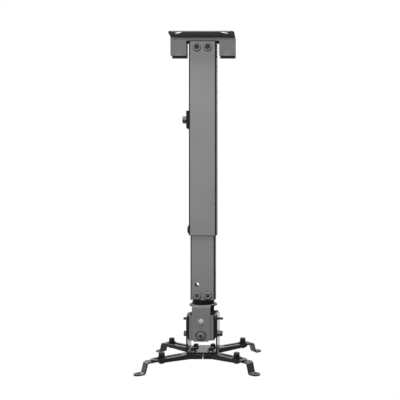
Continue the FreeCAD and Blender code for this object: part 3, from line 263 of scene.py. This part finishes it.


# Node materials. Every pattern is laid out on Object coordinates, in metres. The painted shade along
# bends and on the up- and down-facing faces of bolt heads follows the normal on the object's own
# axes, and the painted shade of a button screw or of its washer is stored in its mesh.

POWDER_DRIFT = 0.04
POWDER_COOL = 0.01
# Painted shade on upright bends and corners: as the product of the normal's X and Y grows between the
# first two numbers, the coat's colour falls to the third share.
BEND_FLAT = 0.03
BEND_FULL = 0.14
BEND_SHADE_LEVEL = 0.09
# Painted shadow just under the top of the outer column, where it meets the saddle: the coat's colour
# falls to the last share there.
SEAM_START = 1.7 * MM
SEAM_FULL = 0.68 * MM
SEAM_SHADOW_LEVEL = 0.06
STEEL_CLOUD = 0.3
STEEL_COOL = 0.01
CORNER_TILT = 0.15
FLAT_TILT = 0.45
# Name of the mesh attribute that holds each vertex's level of painted shade on button screws and
# washers.
SHADE_ATTRIBUTE = "shaded_coat"


def new_material(name):
    """A material with its node tree and its shader."""
    material = bpy.data.materials.new(name)
    material.use_nodes = True
    tree = material.node_tree
    shader = next(n for n in tree.nodes if n.type == "BSDF_PRINCIPLED")
    return material, tree, shader


def object_point(tree):
    """The place on the object's own axes, in metres."""
    return tree.nodes.new("ShaderNodeTexCoord").outputs["Object"]


def object_normal(tree):
    """The way that the surface faces, on the object's own axes."""
    return tree.nodes.new("ShaderNodeTexCoord").outputs["Normal"]


def bend_painted_shade(tree, shade_level):
    """Painted shade: 1 on flat faces, falling to the given level along bends and corners that stand
    upright. Twice the product of the normal's X and Y is the sine of twice the angle turned from a
    flat."""
    normal = split(tree, object_normal(tree))
    product = calculate(tree, "MULTIPLY", normal["X"], normal["Y"])
    return remap(tree, calculate(tree, "ABSOLUTE", product), BEND_FLAT, BEND_FULL, 1.0, shade_level)


def turned_face_painted_shade(tree, flats):
    """Painted shade: 1 where the surface stands upright, falling to the given level where it turns up
    or down.
    """
    tilt = calculate(tree, "ABSOLUTE", split(tree, object_normal(tree))["Z"])
    return remap(tree, tilt, CORNER_TILT, FLAT_TILT, 1.0, flats)


def seam_painted_shadow(tree, point, height):
    """Painted shadow: 1 well below a seam at the given height, falling to the shadow's level just
    under it.
    """
    level = split(tree, point)["Z"]
    return remap(tree, level, height - SEAM_START, height - SEAM_FULL, 1.0, SEAM_SHADOW_LEVEL)


def powder_coat(name, level, seam=None):
    """Satin grey powder coat of the given level: slight drift of tone, fine speckle, a shallow
    orange peel, painted shade along the upright bends, and a painted shadow under a seam if one is
    given."""
    material, tree, shader = new_material(name)
    point = object_point(tree)
    dark = grey((1 - POWDER_DRIFT) * level, POWDER_COOL * level)
    light = grey((1 + POWDER_DRIFT) * level, POWDER_COOL * level)
    drift = tint(tree, noise(tree, point, grain=60 * MM, detail=1.0), dark, light)
    speckle = spread(tree, noise(tree, point, grain=0.5 * MM, detail=2.0), low=0.95, high=1.05)
    # Painted shade along the upright bends darkens the coat.
    shaded_coat = times(tree, times(tree, drift, speckle), bend_painted_shade(tree, BEND_SHADE_LEVEL))
    # A painted shadow just under the seam.
    if seam is not None:
        shaded_coat = times(tree, shaded_coat, seam_painted_shadow(tree, point, seam))
    tree.links.new(shaded_coat, shader.inputs["Base Color"])
    shader.inputs["Specular IOR Level"].default_value = 0.04
    gloss = spread(tree, noise(tree, point, grain=15 * MM, detail=2.0), low=0.60, high=0.68)
    tree.links.new(gloss, shader.inputs["Roughness"])
    peel = noise(tree, point, grain=1.1 * MM, detail=2.0)
    relief(tree, shader, peel, depth=0.03 * MM, strength=0.3)
    return material


def gloss_paint(name):
    """Glossy black paint on pressed steel: deep tone, slow waves and faint dust in the gloss. The
    dark tint lowers the reflection seen straight on and leaves the grazing one bright."""
    material, tree, shader = new_material(name)
    point = object_point(tree)
    drift = noise(tree, point, grain=20 * MM, detail=3.0)
    tone = tint(tree, drift, dark=grey(0.008, 0.0005), light=grey(0.013, 0.0005))
    tree.links.new(tone, shader.inputs["Base Color"])
    shader.inputs["Specular IOR Level"].default_value = 0.8
    shader.inputs["Specular Tint"].default_value = (*grey(0.15), 1)
    dust = spread(tree, noise(tree, point, grain=0.9 * MM, detail=3.0), low=0.05, high=0.09)
    tree.links.new(dust, shader.inputs["Roughness"])
    waves = noise(tree, point, grain=2.2 * MM, detail=2.0)
    relief(tree, shader, waves, depth=0.03 * MM, strength=0.3)
    return material


def shaded_screw_coat(name):
    """The powder coat on a button screw or its washer, times the piece's own level of painted shade:
    painted shade round the head's edge and the washer's rim, deep painted shade in the recess."""
    material, tree, shader = new_material(name)
    point = object_point(tree)
    drift = noise(tree, point, grain=3 * MM, detail=2.0)
    tone = tint(tree, drift, dark=grey(0.21, 0.002), light=grey(0.25, 0.002))
    # The painted shade stored in the mesh darkens the coat.
    level = tree.nodes.new("ShaderNodeAttribute")
    level.attribute_name = SHADE_ATTRIBUTE
    tree.links.new(times(tree, tone, level.outputs["Fac"]), shader.inputs["Base Color"])
    shader.inputs["Specular IOR Level"].default_value = 0.2
    gloss = spread(tree, noise(tree, point, grain=1.5 * MM, detail=2.0), low=0.45, high=0.60)
    tree.links.new(gloss, shader.inputs["Roughness"])
    peel = noise(tree, point, grain=0.7 * MM, detail=2.0)
    relief(tree, shader, peel, depth=0.02 * MM, strength=0.3)
    return material


def blackened_steel(name):
    """Oiled black oxide: nearly black metal with slightly worn, uneven gloss."""
    material, tree, shader = new_material(name)
    point = object_point(tree)
    wear = noise(tree, point, grain=2.2 * MM, detail=4.0)
    tone = tint(tree, wear, dark=grey(0.008, 0.0005), light=grey(0.022, 0.001))
    tree.links.new(tone, shader.inputs["Base Color"])
    shader.inputs["Metallic"].default_value = 0.85
    gloss = spread(tree, noise(tree, point, grain=1.2 * MM, detail=3.0), low=0.28, high=0.44)
    tree.links.new(gloss, shader.inputs["Roughness"])
    pores = noise(tree, point, grain=0.3 * MM, detail=2.0)
    relief(tree, shader, pores, depth=0.01 * MM, strength=0.4)
    return material


def plated_steel(name):
    """Dull zinc plate: grey metal with fine turned lines and cloudy gloss."""
    material, tree, shader = new_material(name)
    point = object_point(tree)
    cloud = noise(tree, point, grain=3 * MM, detail=4.0)
    tone = tint(tree, cloud, dark=grey(0.24, 0.005), light=grey(0.36, 0.005))
    tree.links.new(tone, shader.inputs["Base Color"])
    shader.inputs["Metallic"].default_value = 1.0
    gloss = spread(tree, noise(tree, point, grain=1.5 * MM, detail=3.0), low=0.30, high=0.46)
    tree.links.new(gloss, shader.inputs["Roughness"])
    lines = noise(tree, point, grain=0.25 * MM, detail=2.0, squeeze=(1, 1, 6))
    relief(tree, shader, lines, depth=0.01 * MM, strength=0.4)
    return material


def dull_steel(name, level, flats=None):
    """Weathered zinc of the fasteners that clamp the column and the block: cloudy, of the given
    level. Where a share for the flats is given, the faces of a head that turn up or down have only
    that share of it: painted shade."""
    material, tree, shader = new_material(name)
    point = object_point(tree)
    dark = grey((1 - STEEL_CLOUD) * level, STEEL_COOL * level)
    light = grey((1 + STEEL_CLOUD) * level, STEEL_COOL * level)
    tone = tint(tree, noise(tree, point, grain=2.5 * MM, detail=4.0), dark, light)
    if flats is not None:
        tone = times(tree, tone, turned_face_painted_shade(tree, flats))
    tree.links.new(tone, shader.inputs["Base Color"])
    shader.inputs["Metallic"].default_value = 1.0
    gloss = spread(tree, noise(tree, point, grain=1.4 * MM, detail=3.0), low=0.22, high=0.36)
    tree.links.new(gloss, shader.inputs["Roughness"])
    pores = noise(tree, point, grain=0.3 * MM, detail=2.0)
    relief(tree, shader, pores, depth=0.01 * MM, strength=0.4)
    return material


def satin_metal(name):
    """Tumbled steel of the rivets: light grey, matt, with a pebbled bloom."""
    material, tree, shader = new_material(name)
    point = object_point(tree)
    bloom = noise(tree, point, grain=1.2 * MM, detail=3.0)
    tone = tint(tree, bloom, dark=grey(0.33), light=grey(0.39))
    tree.links.new(tone, shader.inputs["Base Color"])
    shader.inputs["Metallic"].default_value = 0.4
    gloss = spread(tree, noise(tree, point, grain=0.6 * MM, detail=2.0), low=0.60, high=0.72)
    tree.links.new(gloss, shader.inputs["Roughness"])
    pebbles = noise(tree, point, grain=0.4 * MM, detail=2.0)
    relief(tree, shader, pebbles, depth=0.02 * MM, strength=0.4)
    return material


def moulded_plastic(name):
    """Black moulded plastic with a fine spark-eroded grain."""
    material, tree, shader = new_material(name)
    point = object_point(tree)
    flow = noise(tree, point, grain=4 * MM, detail=2.0)
    tone = tint(tree, flow, dark=grey(0.004), light=grey(0.008))
    tree.links.new(tone, shader.inputs["Base Color"])
    shader.inputs["Specular IOR Level"].default_value = 0.05
    gloss = spread(tree, noise(tree, point, grain=2 * MM, detail=2.0), low=0.48, high=0.60)
    tree.links.new(gloss, shader.inputs["Roughness"])
    grain = noise(tree, point, grain=0.4 * MM, detail=3.0)
    relief(tree, shader, grain, depth=0.03 * MM, strength=0.5)
    return material


# Rounds on cut edges, in millimetres. The heads of the clamping bolts have wide, worn corners.

FOOT_FASTENER_ROUNDS = {"foot_flat_washer_": 0.12, "foot_spring_washer_": 0.1, "foot_nut_": 0.12}
EDGE_ROUNDS = {
    "ceiling_plate": 0.25, "saddle": 0.25, "outer_column": 0.2, "inner_column": 0.2,
    "clamp_pad": 0.15, "connector": 0.2, "upper_yoke": 0.4, "tilt_block": 0.25,
    "lower_yoke": 0.25, "arm_plate_left": 0.2, "arm_plate_right": 0.2,
    **{"foot_" + foot: 0.25 for foot in FOOT_NAMES},
    "guide_plug": 0.15, "glide_cap": 0.15, "lock_bolt": 0.9, "lock_nut_plate": 0.12,
    "swivel_bolt": 0.12, "swivel_spacer": 0.12, "swivel_bush": 0.12,
    "roll_rivets": 0.12, "roll_lock_nuts": 0.1,
    "pitch_lock_bolts": 0.5, "pitch_lock_washers": 0.12, "pitch_lock_nuts": 0.1,
    "base_washers": 0.12, "base_nuts": 0.1,
    **{stem + foot: width for stem, width in FOOT_FASTENER_ROUNDS.items() for foot in FOOT_NAMES},
}

# The slot and the finish of each node. A node takes its slot from the record, apart from a few
# fasteners that are brighter or darker than the record's slot for them, and its finish from its slot,
# apart from the nodes that make_finishes names.

GREY_LEVEL = 0.222
# The bracket's and the head's levels are darker copies of the same grey coat: painted shade.
BRACKET_SHADED_LEVEL = 0.188
HEAD_SHADED_LEVEL = 0.190
PIN_LEVEL = 0.105
BOLT_LEVEL = 0.40
# The share of the bolt heads' colour left on faces that turn up or down: painted shade.
BOLT_FLATS_SHADE = 0.10


def choose_slots():
    """The slot of each node."""
    slots = {part["node"]: part["material_slot"] for part in frame["record"]["subparts"]}
    for node in ("pitch_pin", "pitch_lock_bolts", "lock_bolt"):
        slots[node] = "zinc_steel"
    for stem in FOOT_FASTENER_ROUNDS:
        for foot in FOOT_NAMES:
            slots[stem + foot] = "dark_steel"
    return slots


def make_finishes(slots):
    """The material of each node."""
    by_slot = {
        "grey_paint": powder_coat("grey_powder_coat", GREY_LEVEL),
        "black_paint": gloss_paint("black_gloss_paint"),
        "dark_steel": blackened_steel("black_oxide_steel"),
        "satin_steel": satin_metal("satin_rivet_steel"),
        "zinc_steel": plated_steel("zinc_plated_steel"),
        "black_plastic": moulded_plastic("black_moulded_plastic"),
    }
    column_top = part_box("outer_column")[1][2]
    # Button screws and washers: the coat times the painted shade stored in their mesh.
    shaded_screws = shaded_screw_coat("screw_powder_coat_shaded")
    dull = dull_steel("dull_pin_steel", PIN_LEVEL)
    # Bolt heads with painted shade on the faces that turn up or down.
    shaded_bolts = dull_steel("shaded_bolt_steel", BOLT_LEVEL, flats=BOLT_FLATS_SHADE)
    # Darker copies of the grey coat for the bracket and the head: painted shade.
    shaded_bracket = powder_coat("bracket_powder_coat_shaded", BRACKET_SHADED_LEVEL)
    head = powder_coat("head_powder_coat_shaded", HEAD_SHADED_LEVEL)
    column = powder_coat("column_powder_coat_seam_shadow", GREY_LEVEL, seam=column_top)
    return {
        **{node: by_slot[slot] for node, slot in slots.items()},
        "ceiling_plate": shaded_bracket, "saddle": shaded_bracket,
        "upper_yoke": head, "tilt_block": head, "outer_column": column,
        "top_screws": shaded_screws, "low_screws": shaded_screws,
        "roll_lock_screws": shaded_screws, "roll_lock_washers": shaded_screws,
        "lock_bolt": shaded_bolts, "pitch_lock_bolts": shaded_bolts,
        "pitch_pin": dull, "pitch_lock_washers": dull, "pitch_lock_nuts": dull,
    }


SLOT_OF = choose_slots()
FINISH_OF = make_finishes(SLOT_OF)


def dress(piece, node):
    """Gives the piece the finish and the body of the node that it stands for, and hides the node."""
    piece.data.materials.clear()
    piece.data.materials.append(FINISH_OF[node])
    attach(piece, BODY_OF[node])
    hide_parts(node)


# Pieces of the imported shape: copies of the solids with their cut edges slightly rounded.

MERGE_WITHIN = 2e-6
FLAT_WITHIN = math.radians(0.4)
SHARP_FROM = math.radians(34)
ROUND_STEPS = 2
LARGE_FACES_FIRST = 100


def merged_copy(node, name):
    """The node's triangles joined at shared corners, with coplanar triangles made one face."""
    mesh = NODES[node].data.copy()
    mesh.name = name
    shape = bmesh.new()
    shape.from_mesh(mesh)
    bmesh.ops.remove_doubles(shape, verts=shape.verts, dist=MERGE_WITHIN)
    bmesh.ops.dissolve_limit(shape, angle_limit=FLAT_WITHIN, verts=shape.verts, edges=shape.edges,
                             use_dissolve_boundaries=False)
    shape.to_mesh(mesh)
    shape.free()
    mesh.shade_smooth()
    mesh.set_sharp_from_angle(angle=SHARP_FROM)
    return in_scene(name, mesh)


def eased(node, width):
    """A copy of the node whose sharp edges carry a narrow round, with its flats shaded flat."""
    piece = merged_copy(node, node + "_finished")
    bevel = piece.modifiers.new("edge_round", "BEVEL")
    bevel.width = width
    bevel.segments = ROUND_STEPS
    bevel.limit_method = "ANGLE"
    bevel.angle_limit = SHARP_FROM
    flats = piece.modifiers.new("flat_faces", "WEIGHTED_NORMAL")
    flats.mode = "FACE_AREA"
    flats.weight = LARGE_FACES_FIRST
    flats.keep_sharp = True
    dress(piece, node)


def finish_nodes():
    """Rounds the edges of the nodes in the table, and gives each node still shown its finish."""
    for node, width in EDGE_ROUNDS.items():
        eased(node, width * MM)
    for node, thing in NODES.items():
        if not thing.hide_render:
            thing.data.materials.clear()
            thing.data.materials.append(FINISH_OF[node])


# Turned pieces. Each is one closed surface of two parameters: the angle round the axis, and the step
# along the profile. Rows are a pair of arrays, the radius and the height at every angle, and a shell
# is its vertices, its four-sided faces and its three-sided ones.

COLUMNS = 96
AROUND = np.arange(COLUMNS) * 2 * math.pi / COLUMNS


def level_row(radius, height):
    """One row at a height: the radius is a number, or one number for each angle."""
    return np.broadcast_to(radius, (1, COLUMNS)), np.full((1, COLUMNS), height)


def row_grid(rows):
    """Vertices of the rows: radius times cosine, radius times sine, height."""
    radius = np.concatenate([row[0] for row in rows])
    height = np.concatenate([row[1] for row in rows])
    return np.stack([radius * np.cos(AROUND), radius * np.sin(AROUND), height], axis=-1)


def row_quads(below, above):
    """A face between each two neighbours of a row and the two over them in the next."""
    corners = [below, np.roll(below, -1, axis=1), np.roll(above, -1, axis=1), above]
    return np.stack(corners, axis=-1).reshape(-1, 4)


def closed_shell(rows, low_pole, high_pole):
    """The shell through the rows from the lowest up, closed by a point at either end."""
    grid = row_grid(rows)
    index = np.arange(grid.shape[0] * COLUMNS).reshape(-1, COLUMNS)
    low_end = np.full(COLUMNS, index.size)
    high_end = low_end + 1
    low_fan = np.stack([low_end, np.roll(index[0], -1), index[0]], axis=-1)
    high_fan = np.stack([high_end, index[-1], np.roll(index[-1], -1)], axis=-1)
    points = np.concatenate([grid.reshape(-1, 3), [[0, 0, low_pole], [0, 0, high_pole]]])
    return points, row_quads(index[:-1], index[1:]), np.concatenate([low_fan, high_fan])


def ring_shell(rows):
    """The shell through the rows, its last row joined to its first."""
    grid = row_grid(rows)
    index = np.arange(grid.shape[0] * COLUMNS).reshape(-1, COLUMNS)
    no_fans = np.zeros((0, 3), int)
    return grid.reshape(-1, 3), row_quads(index, np.roll(index, -1, axis=0)), no_fans


def moved(shell, shift):
    """The shell, shifted as a whole."""
    points, quads, fans = shell
    return points + np.array(shift), quads, fans


def facing(shell, way):
    """Turns +Z to the front, way -1, or to the back, way 1: a quarter turn about the X axis."""
    points, quads, fans = shell
    x, y, z = points.T
    return np.stack([x, way * z, -way * y], axis=-1), quads, fans


def lying(shell):
    """Turns +Z to the right: a quarter turn about the Y axis."""
    points, quads, fans = shell
    x, y, z = points.T
    return np.stack([z, y, -x], axis=-1), quads, fans


def joined(name, shells, shaded_coats=()):
    """One object from several shells, with the level of painted shade at each vertex where it is
    given.
    """
    starts = np.cumsum([0] + [len(points) for points, _, _ in shells])
    points = np.concatenate([points for points, _, _ in shells])
    quads = np.concatenate([quads + start for (_, quads, _), start in zip(shells, starts)])
    fans = np.concatenate([fans + start for (_, _, fans), start in zip(shells, starts)])
    mesh = bpy.data.meshes.new(name)
    mesh.from_pydata(points.tolist(), [], quads.tolist() + fans.tolist())
    mesh.shade_smooth()
    mesh.set_sharp_from_angle(angle=SHARP_FROM)
    if shaded_coats:
        level = mesh.attributes.new(SHADE_ATTRIBUTE, "FLOAT", "POINT")
        level.data.foreach_set("value", np.concatenate(shaded_coats))
    return in_scene(name, mesh)


# Threads and recesses. A thread's depth, fade and end are shares of its pitch, and its flank is the
# slope of the wave's sides before they are clipped.

STEPS_PER_TURN = 6
THREAD_DEPTH = 0.54
THREAD_FLANK = 1.25
THREAD_FADE = 0.8
THREAD_END = 0.4


def thread_rows(radius, pitch, low, high):
    """Rows of a screw thread between two heights. Radius: the crest radius less the groove depth
    times a clipped triangle wave of height over pitch plus angle over a turn; the groove fades to
    nothing over most of a turn at either end."""
    count = math.ceil((high - low) / pitch * STEPS_PER_TURN)
    height = np.linspace(low, high, count + 1)[:, None]
    phase = (height / pitch + AROUND[None, :] / (2 * math.pi)) % 1.0
    triangle = 1.0 - np.abs(2.0 * phase - 1.0)
    wave = np.clip(THREAD_FLANK * triangle - (THREAD_FLANK - 1) / 2, 0.0, 1.0)
    fade = np.clip(np.minimum(height - low, high - height) / (THREAD_FADE * pitch), 0.0, 1.0)
    reach = radius - THREAD_DEPTH * pitch * wave * fade
    return reach, np.broadcast_to(height, reach.shape)


def hexagon_radius(across, turn=0.0):
    """Distance from the middle of a hexagon to its side: half the width across the flats over the
    cosine of the angle from the nearest flat's middle."""
    from_flat = (AROUND - turn + math.pi / 6) % (math.pi / 3) - math.pi / 6
    return across / 2 / np.cos(from_flat)


# Cap screws of the feet and the base. The shares under their sizes are each of the size that
# cap_screw multiplies them by.

FOOT_SCREW = dict(thread=5.0 * MM, pitch=0.8 * MM, length=10.8 * MM, head=8.5 * MM,
                  rise=5.0 * MM, recess=4.0 * MM, depth=2.5 * MM)
BASE_SCREW = dict(thread=4.0 * MM, pitch=0.7 * MM, length=9.0 * MM, head=7.4 * MM,
                  rise=3.1 * MM, recess=3.2 * MM, depth=1.6 * MM)
FLUTE_DEPTH = 0.10 * MM
CAP_TIP = 0.16
CAP_RIM = 0.08
CAP_FOOT_IN = 0.3
CAP_FOOT_UP = 0.4
CAP_KNEE_IN = 0.35
CAP_KNEE_DOWN = 0.3
CAP_MOUTH = 1.08
CAP_MOUTH_DEEP = 0.04
CAP_POINT_DEEP = 0.12


def fluted(radius):
    """Radius of a knurled head: every other angle lies one flute depth further in."""
    return radius - FLUTE_DEPTH * (np.arange(COLUMNS) % 2)


def cap_screw(thread, pitch, length, head, rise, recess, depth):
    """A socket cap screw along +Z with the underside of its head at zero: chamfered tip, thread,
    knurled head with bevelled rims and a hexagon recess."""
    shank = thread / 2
    edge = head / 2
    rim = CAP_RIM * head
    tip = CAP_TIP * thread
    wall = hexagon_radius(recess)
    floor = rise - depth
    rows = [
        level_row(shank - tip, -length),
        thread_rows(shank, pitch, -length + tip, -THREAD_END * pitch),
        level_row(shank, 0.0),
        level_row(edge - CAP_FOOT_IN * rim, 0.0),
        level_row(fluted(edge), CAP_FOOT_UP * rim),
        level_row(fluted(edge), rise - rim),
        level_row(edge - CAP_KNEE_IN * rim, rise - CAP_KNEE_DOWN * rim),
        level_row(edge - rim, rise),
        level_row(CAP_MOUTH * wall, rise),
        level_row(wall, rise - CAP_MOUTH_DEEP * recess),
        level_row(wall, floor),
    ]
    return closed_shell(rows, -length, floor - CAP_POINT_DEEP * recess)


def make_foot_screws():
    """One cap screw on each foot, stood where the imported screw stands."""
    for foot in FOOT_NAMES:
        node = "foot_screw_" + foot
        low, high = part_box(node)
        seat = ((low[0] + high[0]) / 2, (low[1] + high[1]) / 2, high[2] - FOOT_SCREW["rise"])
        dress(joined(node + "_threaded", [moved(cap_screw(**FOOT_SCREW), seat)]), node)


def make_base_screws():
    """Four cap screws at the corners of a rectangle, a head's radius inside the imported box."""
    low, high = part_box("base_screws")
    inset = BASE_SCREW["head"] / 2
    level = high[2] - BASE_SCREW["rise"]
    shells = [
        moved(cap_screw(**BASE_SCREW), (x, y, level))
        for x in (low[0] + inset, high[0] - inset)
        for y in (low[1] + inset, high[1] - inset)
    ]
    dress(joined("base_screws_threaded", shells), "base_screws")


# Button screws of the column and the roll lock, with the washers of the lock. The shares under their
# sizes are each of the size that button_screw or flat_ring multiplies them by.

COLUMN_SCREW = dict(thread=6.0 * MM, pitch=1.0 * MM, head=12.5 * MM, rise=2.8 * MM,
                    recess=4.4 * MM, depth=1.8 * MM)
# Each spot is the share of the coat's colour that the painted shade of the recess leaves on the
# middle of its floor.
BUTTON_SCREWS = {
    "top_screws": dict(length=7.0 * MM, flare=1.75, spot=0.25, **COLUMN_SCREW),
    "low_screws": dict(length=4.2 * MM, flare=1.3, spot=1.0, **COLUMN_SCREW),
    "roll_lock_screws": dict(thread=5.0 * MM, pitch=0.8 * MM, length=9.2 * MM, head=9.5 * MM,
                             rise=2.7 * MM, recess=3.2 * MM, depth=1.6 * MM, flare=1.45,
                             spot=0.7),
}
BUTTON_TURN = math.radians(12)
BUTTON_TIP = 0.12
CROWN_SHARE = 0.62
RIM_SHARE = 0.25
RIM_FOOT_IN = 0.1
RIM_FOOT_UP = 0.15
WIDEST_MOUTH = 0.97
LIP_SHARE = 0.95
LIP_DEEP = 0.02
FLARE_DEEP = 0.16
FLOOR_EDGE = 0.45
FLOOR_SPOT = 0.32
SPOT_DEEP = 0.02
POINT_DEEP = 0.05
DOME_ROWS = 7
# Levels of painted shade on button screws and washers: 1 leaves the coat's colour, the rim and the
# recess walls are darkened.
NO_PAINTED_SHADE = 1.0
RIM_PAINTED_SHADE = 0.14
DEEP_PAINTED_SHADE = 0.02
ROLL_BORE = 5.04 * MM
ROLL_WASHER_THICK = 1.2 * MM
RING_EASE = 0.25
RING_BAND = 0.13
RING_BAND_END = 1.4
FRONT_AND_BACK = (-1, 1)
SAME_PLACE_DIGITS = 6


def dome_rows(crown, edge, low, high):
    """Rows of a dome with their level of painted shade, darkest at the rim and none at the crown.
    From the rim to the crown, the radius shrinks with the cosine and the height grows with the sine
    of an angle from 0 to 90 degrees."""
    rows = []
    for share in np.linspace(0.0, 1.0, DOME_ROWS):
        angle = share * math.pi / 2
        radius = crown + (edge - crown) * math.cos(angle)
        height = low + (high - low) * math.sin(angle)
        shaded_coat = RIM_PAINTED_SHADE + (NO_PAINTED_SHADE - RIM_PAINTED_SHADE) * share
        rows.append((level_row(radius, height), shaded_coat))
    return rows


def button_screw(thread, pitch, length, head, rise, recess, depth, flare, spot, turn):
    """A domed screw along +Z with the underside of its head at zero, and the level of its painted
    shade
    at each vertex: the recess flares to its mouth, and the painted shade lifts on the middle of its
    floor."""
    shank = thread / 2
    edge = head / 2
    crown = CROWN_SHARE * edge
    rim = RIM_SHARE * rise
    tip = BUTTON_TIP * thread
    wall = hexagon_radius(recess, turn)
    mouth = np.minimum(flare * wall, WIDEST_MOUTH * crown)
    floor = rise - depth
    rows = [
        (level_row(shank - tip, -length), NO_PAINTED_SHADE),
        (thread_rows(shank, pitch, -length + tip, -THREAD_END * pitch), NO_PAINTED_SHADE),
        (level_row(shank, 0.0), NO_PAINTED_SHADE),
        (level_row(edge - RIM_FOOT_IN * rim, 0.0), RIM_PAINTED_SHADE),
        (level_row(edge, RIM_FOOT_UP * rim), RIM_PAINTED_SHADE),
        *dome_rows(crown, edge, rim, rise),
        (level_row(mouth, rise), NO_PAINTED_SHADE),
        (level_row(LIP_SHARE * mouth, rise - LIP_DEEP * recess), DEEP_PAINTED_SHADE),
        (level_row(wall, rise - FLARE_DEEP * recess), DEEP_PAINTED_SHADE),
        (level_row(wall, floor), DEEP_PAINTED_SHADE),
        (level_row(FLOOR_EDGE * wall, floor), DEEP_PAINTED_SHADE),
        (level_row(FLOOR_SPOT * wall, floor - SPOT_DEEP * recess), spot),
    ]
    shell = closed_shell([row for row, _ in rows], -length, floor - POINT_DEEP * recess)
    poles = [[NO_PAINTED_SHADE, spot]]
    shaded_coat = np.concatenate([np.full(row[0].size, level) for row, level in rows] + poles)
    return shell, shaded_coat


def flat_ring(bore, across, thickness):
    """A washer that stands on zero, and the level of its painted shade on its rim and on a band of
    its
    top next to the rim: a closed profile of eight rows from the bore round the rim and back to the
    bore."""
    inner = bore / 2
    outer = across / 2
    ease = RING_EASE * thickness
    band = RING_BAND * outer
    profile = [
        (inner, 0.0, NO_PAINTED_SHADE),
        (outer - ease, 0.0, NO_PAINTED_SHADE),
        (outer, ease, DEEP_PAINTED_SHADE),
        (outer, thickness - ease, DEEP_PAINTED_SHADE),
        (outer - ease, thickness, DEEP_PAINTED_SHADE),
        (outer - band, thickness, DEEP_PAINTED_SHADE),
        (outer - RING_BAND_END * band, thickness, NO_PAINTED_SHADE),
        (inner, thickness, NO_PAINTED_SHADE),
    ]
    shell = ring_shell([level_row(radius, height) for radius, height, _ in profile])
    shaded_coat = np.repeat([level for _, _, level in profile], COLUMNS)
    return shell, shaded_coat


def make_roll_washers():
    """The washers under the roll lock screws, front and back."""
    low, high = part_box("roll_lock_washers")
    level = (low[2] + high[2]) / 2
    shells = []
    shaded_coats = []
    for way in FRONT_AND_BACK:
        shell, shaded_coat = flat_ring(ROLL_BORE, high[0] - low[0], ROLL_WASHER_THICK)
        seat = way * (high[1] - ROLL_WASHER_THICK)
        shells.append(moved(facing(shell, way), (0.0, seat, level)))
        shaded_coats.append(shaded_coat)
    dress(joined("roll_lock_washers_eased", shells, shaded_coats), "roll_lock_washers")


def screw_places(low, high, head):
    """Middles of the heads at the two ends of a box: one place where they are the same."""
    ends = (low + head / 2, high - head / 2)
    return sorted({round(end, SAME_PLACE_DIGITS) for end in ends})


def make_button_screws():
    """The screws of each node, front and back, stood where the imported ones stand."""
    for node, size in BUTTON_SCREWS.items():
        low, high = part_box(node)
        level = (low[2] + high[2]) / 2
        shells = []
        shaded_coats = []
        for way in FRONT_AND_BACK:
            seat = way * (high[1] - size["rise"])
            for x in screw_places(low[0], high[0], size["head"]):
                spin = BUTTON_TURN if x < 0 else -BUTTON_TURN
                shell, shaded_coat = button_screw(**size, turn=spin)
                shells.append(moved(facing(shell, way), (x, seat, level)))
                shaded_coats.append(shaded_coat)
        dress(joined(node + "_threaded", shells, shaded_coats), node)


# The long pin through the block, a stud.

PIN_THREAD = 4.0 * MM
PIN_PITCH = 0.7 * MM
PIN_THREADED = 11.0 * MM
STUD_TIP = 0.14


def stud(thread, pitch, low, high, threaded):
    """A round bar between two heights with a thread of the given length at either end. The chamfer
    of its ends is a share of the thread."""
    shank = thread / 2
    tip = STUD_TIP * thread
    rows = [
        level_row(shank - tip, low),
        thread_rows(shank, pitch, low + tip, low + threaded),
        thread_rows(shank, pitch, high - threaded, high - tip),
        level_row(shank - tip, high),
    ]
    return closed_shell(rows, low, high)


def make_pitch_pin():
    """The long pin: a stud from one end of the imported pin's box to the other, lying along X."""
    low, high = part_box("pitch_pin")
    axis = (0.0, (low[1] + high[1]) / 2, (low[2] + high[2]) / 2)
    bar = lying(stud(PIN_THREAD, PIN_PITCH, low[0], high[0], PIN_THREADED))
    dress(joined("pitch_pin_threaded", [moved(bar, axis)]), "pitch_pin")


# Floor, well below the mount.

FLOOR_DROP = 0.75
FLOOR_REACH = 1.3
FLOOR_TONE = 0.3
FLOOR_ROUGHNESS = 0.9
FLOOR_GLOW = 0.95


def floor_material():
    """White floor: matt, with an even glow where the camera, gloss or a clear material sees it."""
    material, tree, shader = new_material("floor_white")
    shader.inputs["Base Color"].default_value = (*grey(FLOOR_TONE), 1)
    shader.inputs["Roughness"].default_value = FLOOR_ROUGHNESS
    shader.inputs["Emission Color"].default_value = WHITE
    glow = calculate(tree, "MULTIPLY", background_rays(tree), FLOOR_GLOW)
    tree.links.new(glow, shader.inputs["Emission Strength"])
    return material


def make_floor():
    """A square at a constant height, from four corners."""
    level = cad_low[2] - FLOOR_DROP
    reach = FLOOR_REACH
    corners = [(-reach, -reach, level), (reach, -reach, level), (reach, reach, level),
               (-reach, reach, level)]
    mesh = bpy.data.meshes.new("floor")
    mesh.from_pydata(corners, [], [(0, 1, 2, 3)])
    mesh.materials.append(floor_material())
    floor = in_scene("floor", mesh)


# The mount itself, and then its surroundings.

make_roll_washers()
make_button_screws()
make_foot_screws()
make_base_screws()
make_pitch_pin()
finish_nodes()
make_floor()
set_lights()
set_camera()
bpy.context.scene.view_settings.view_transform = "Standard"
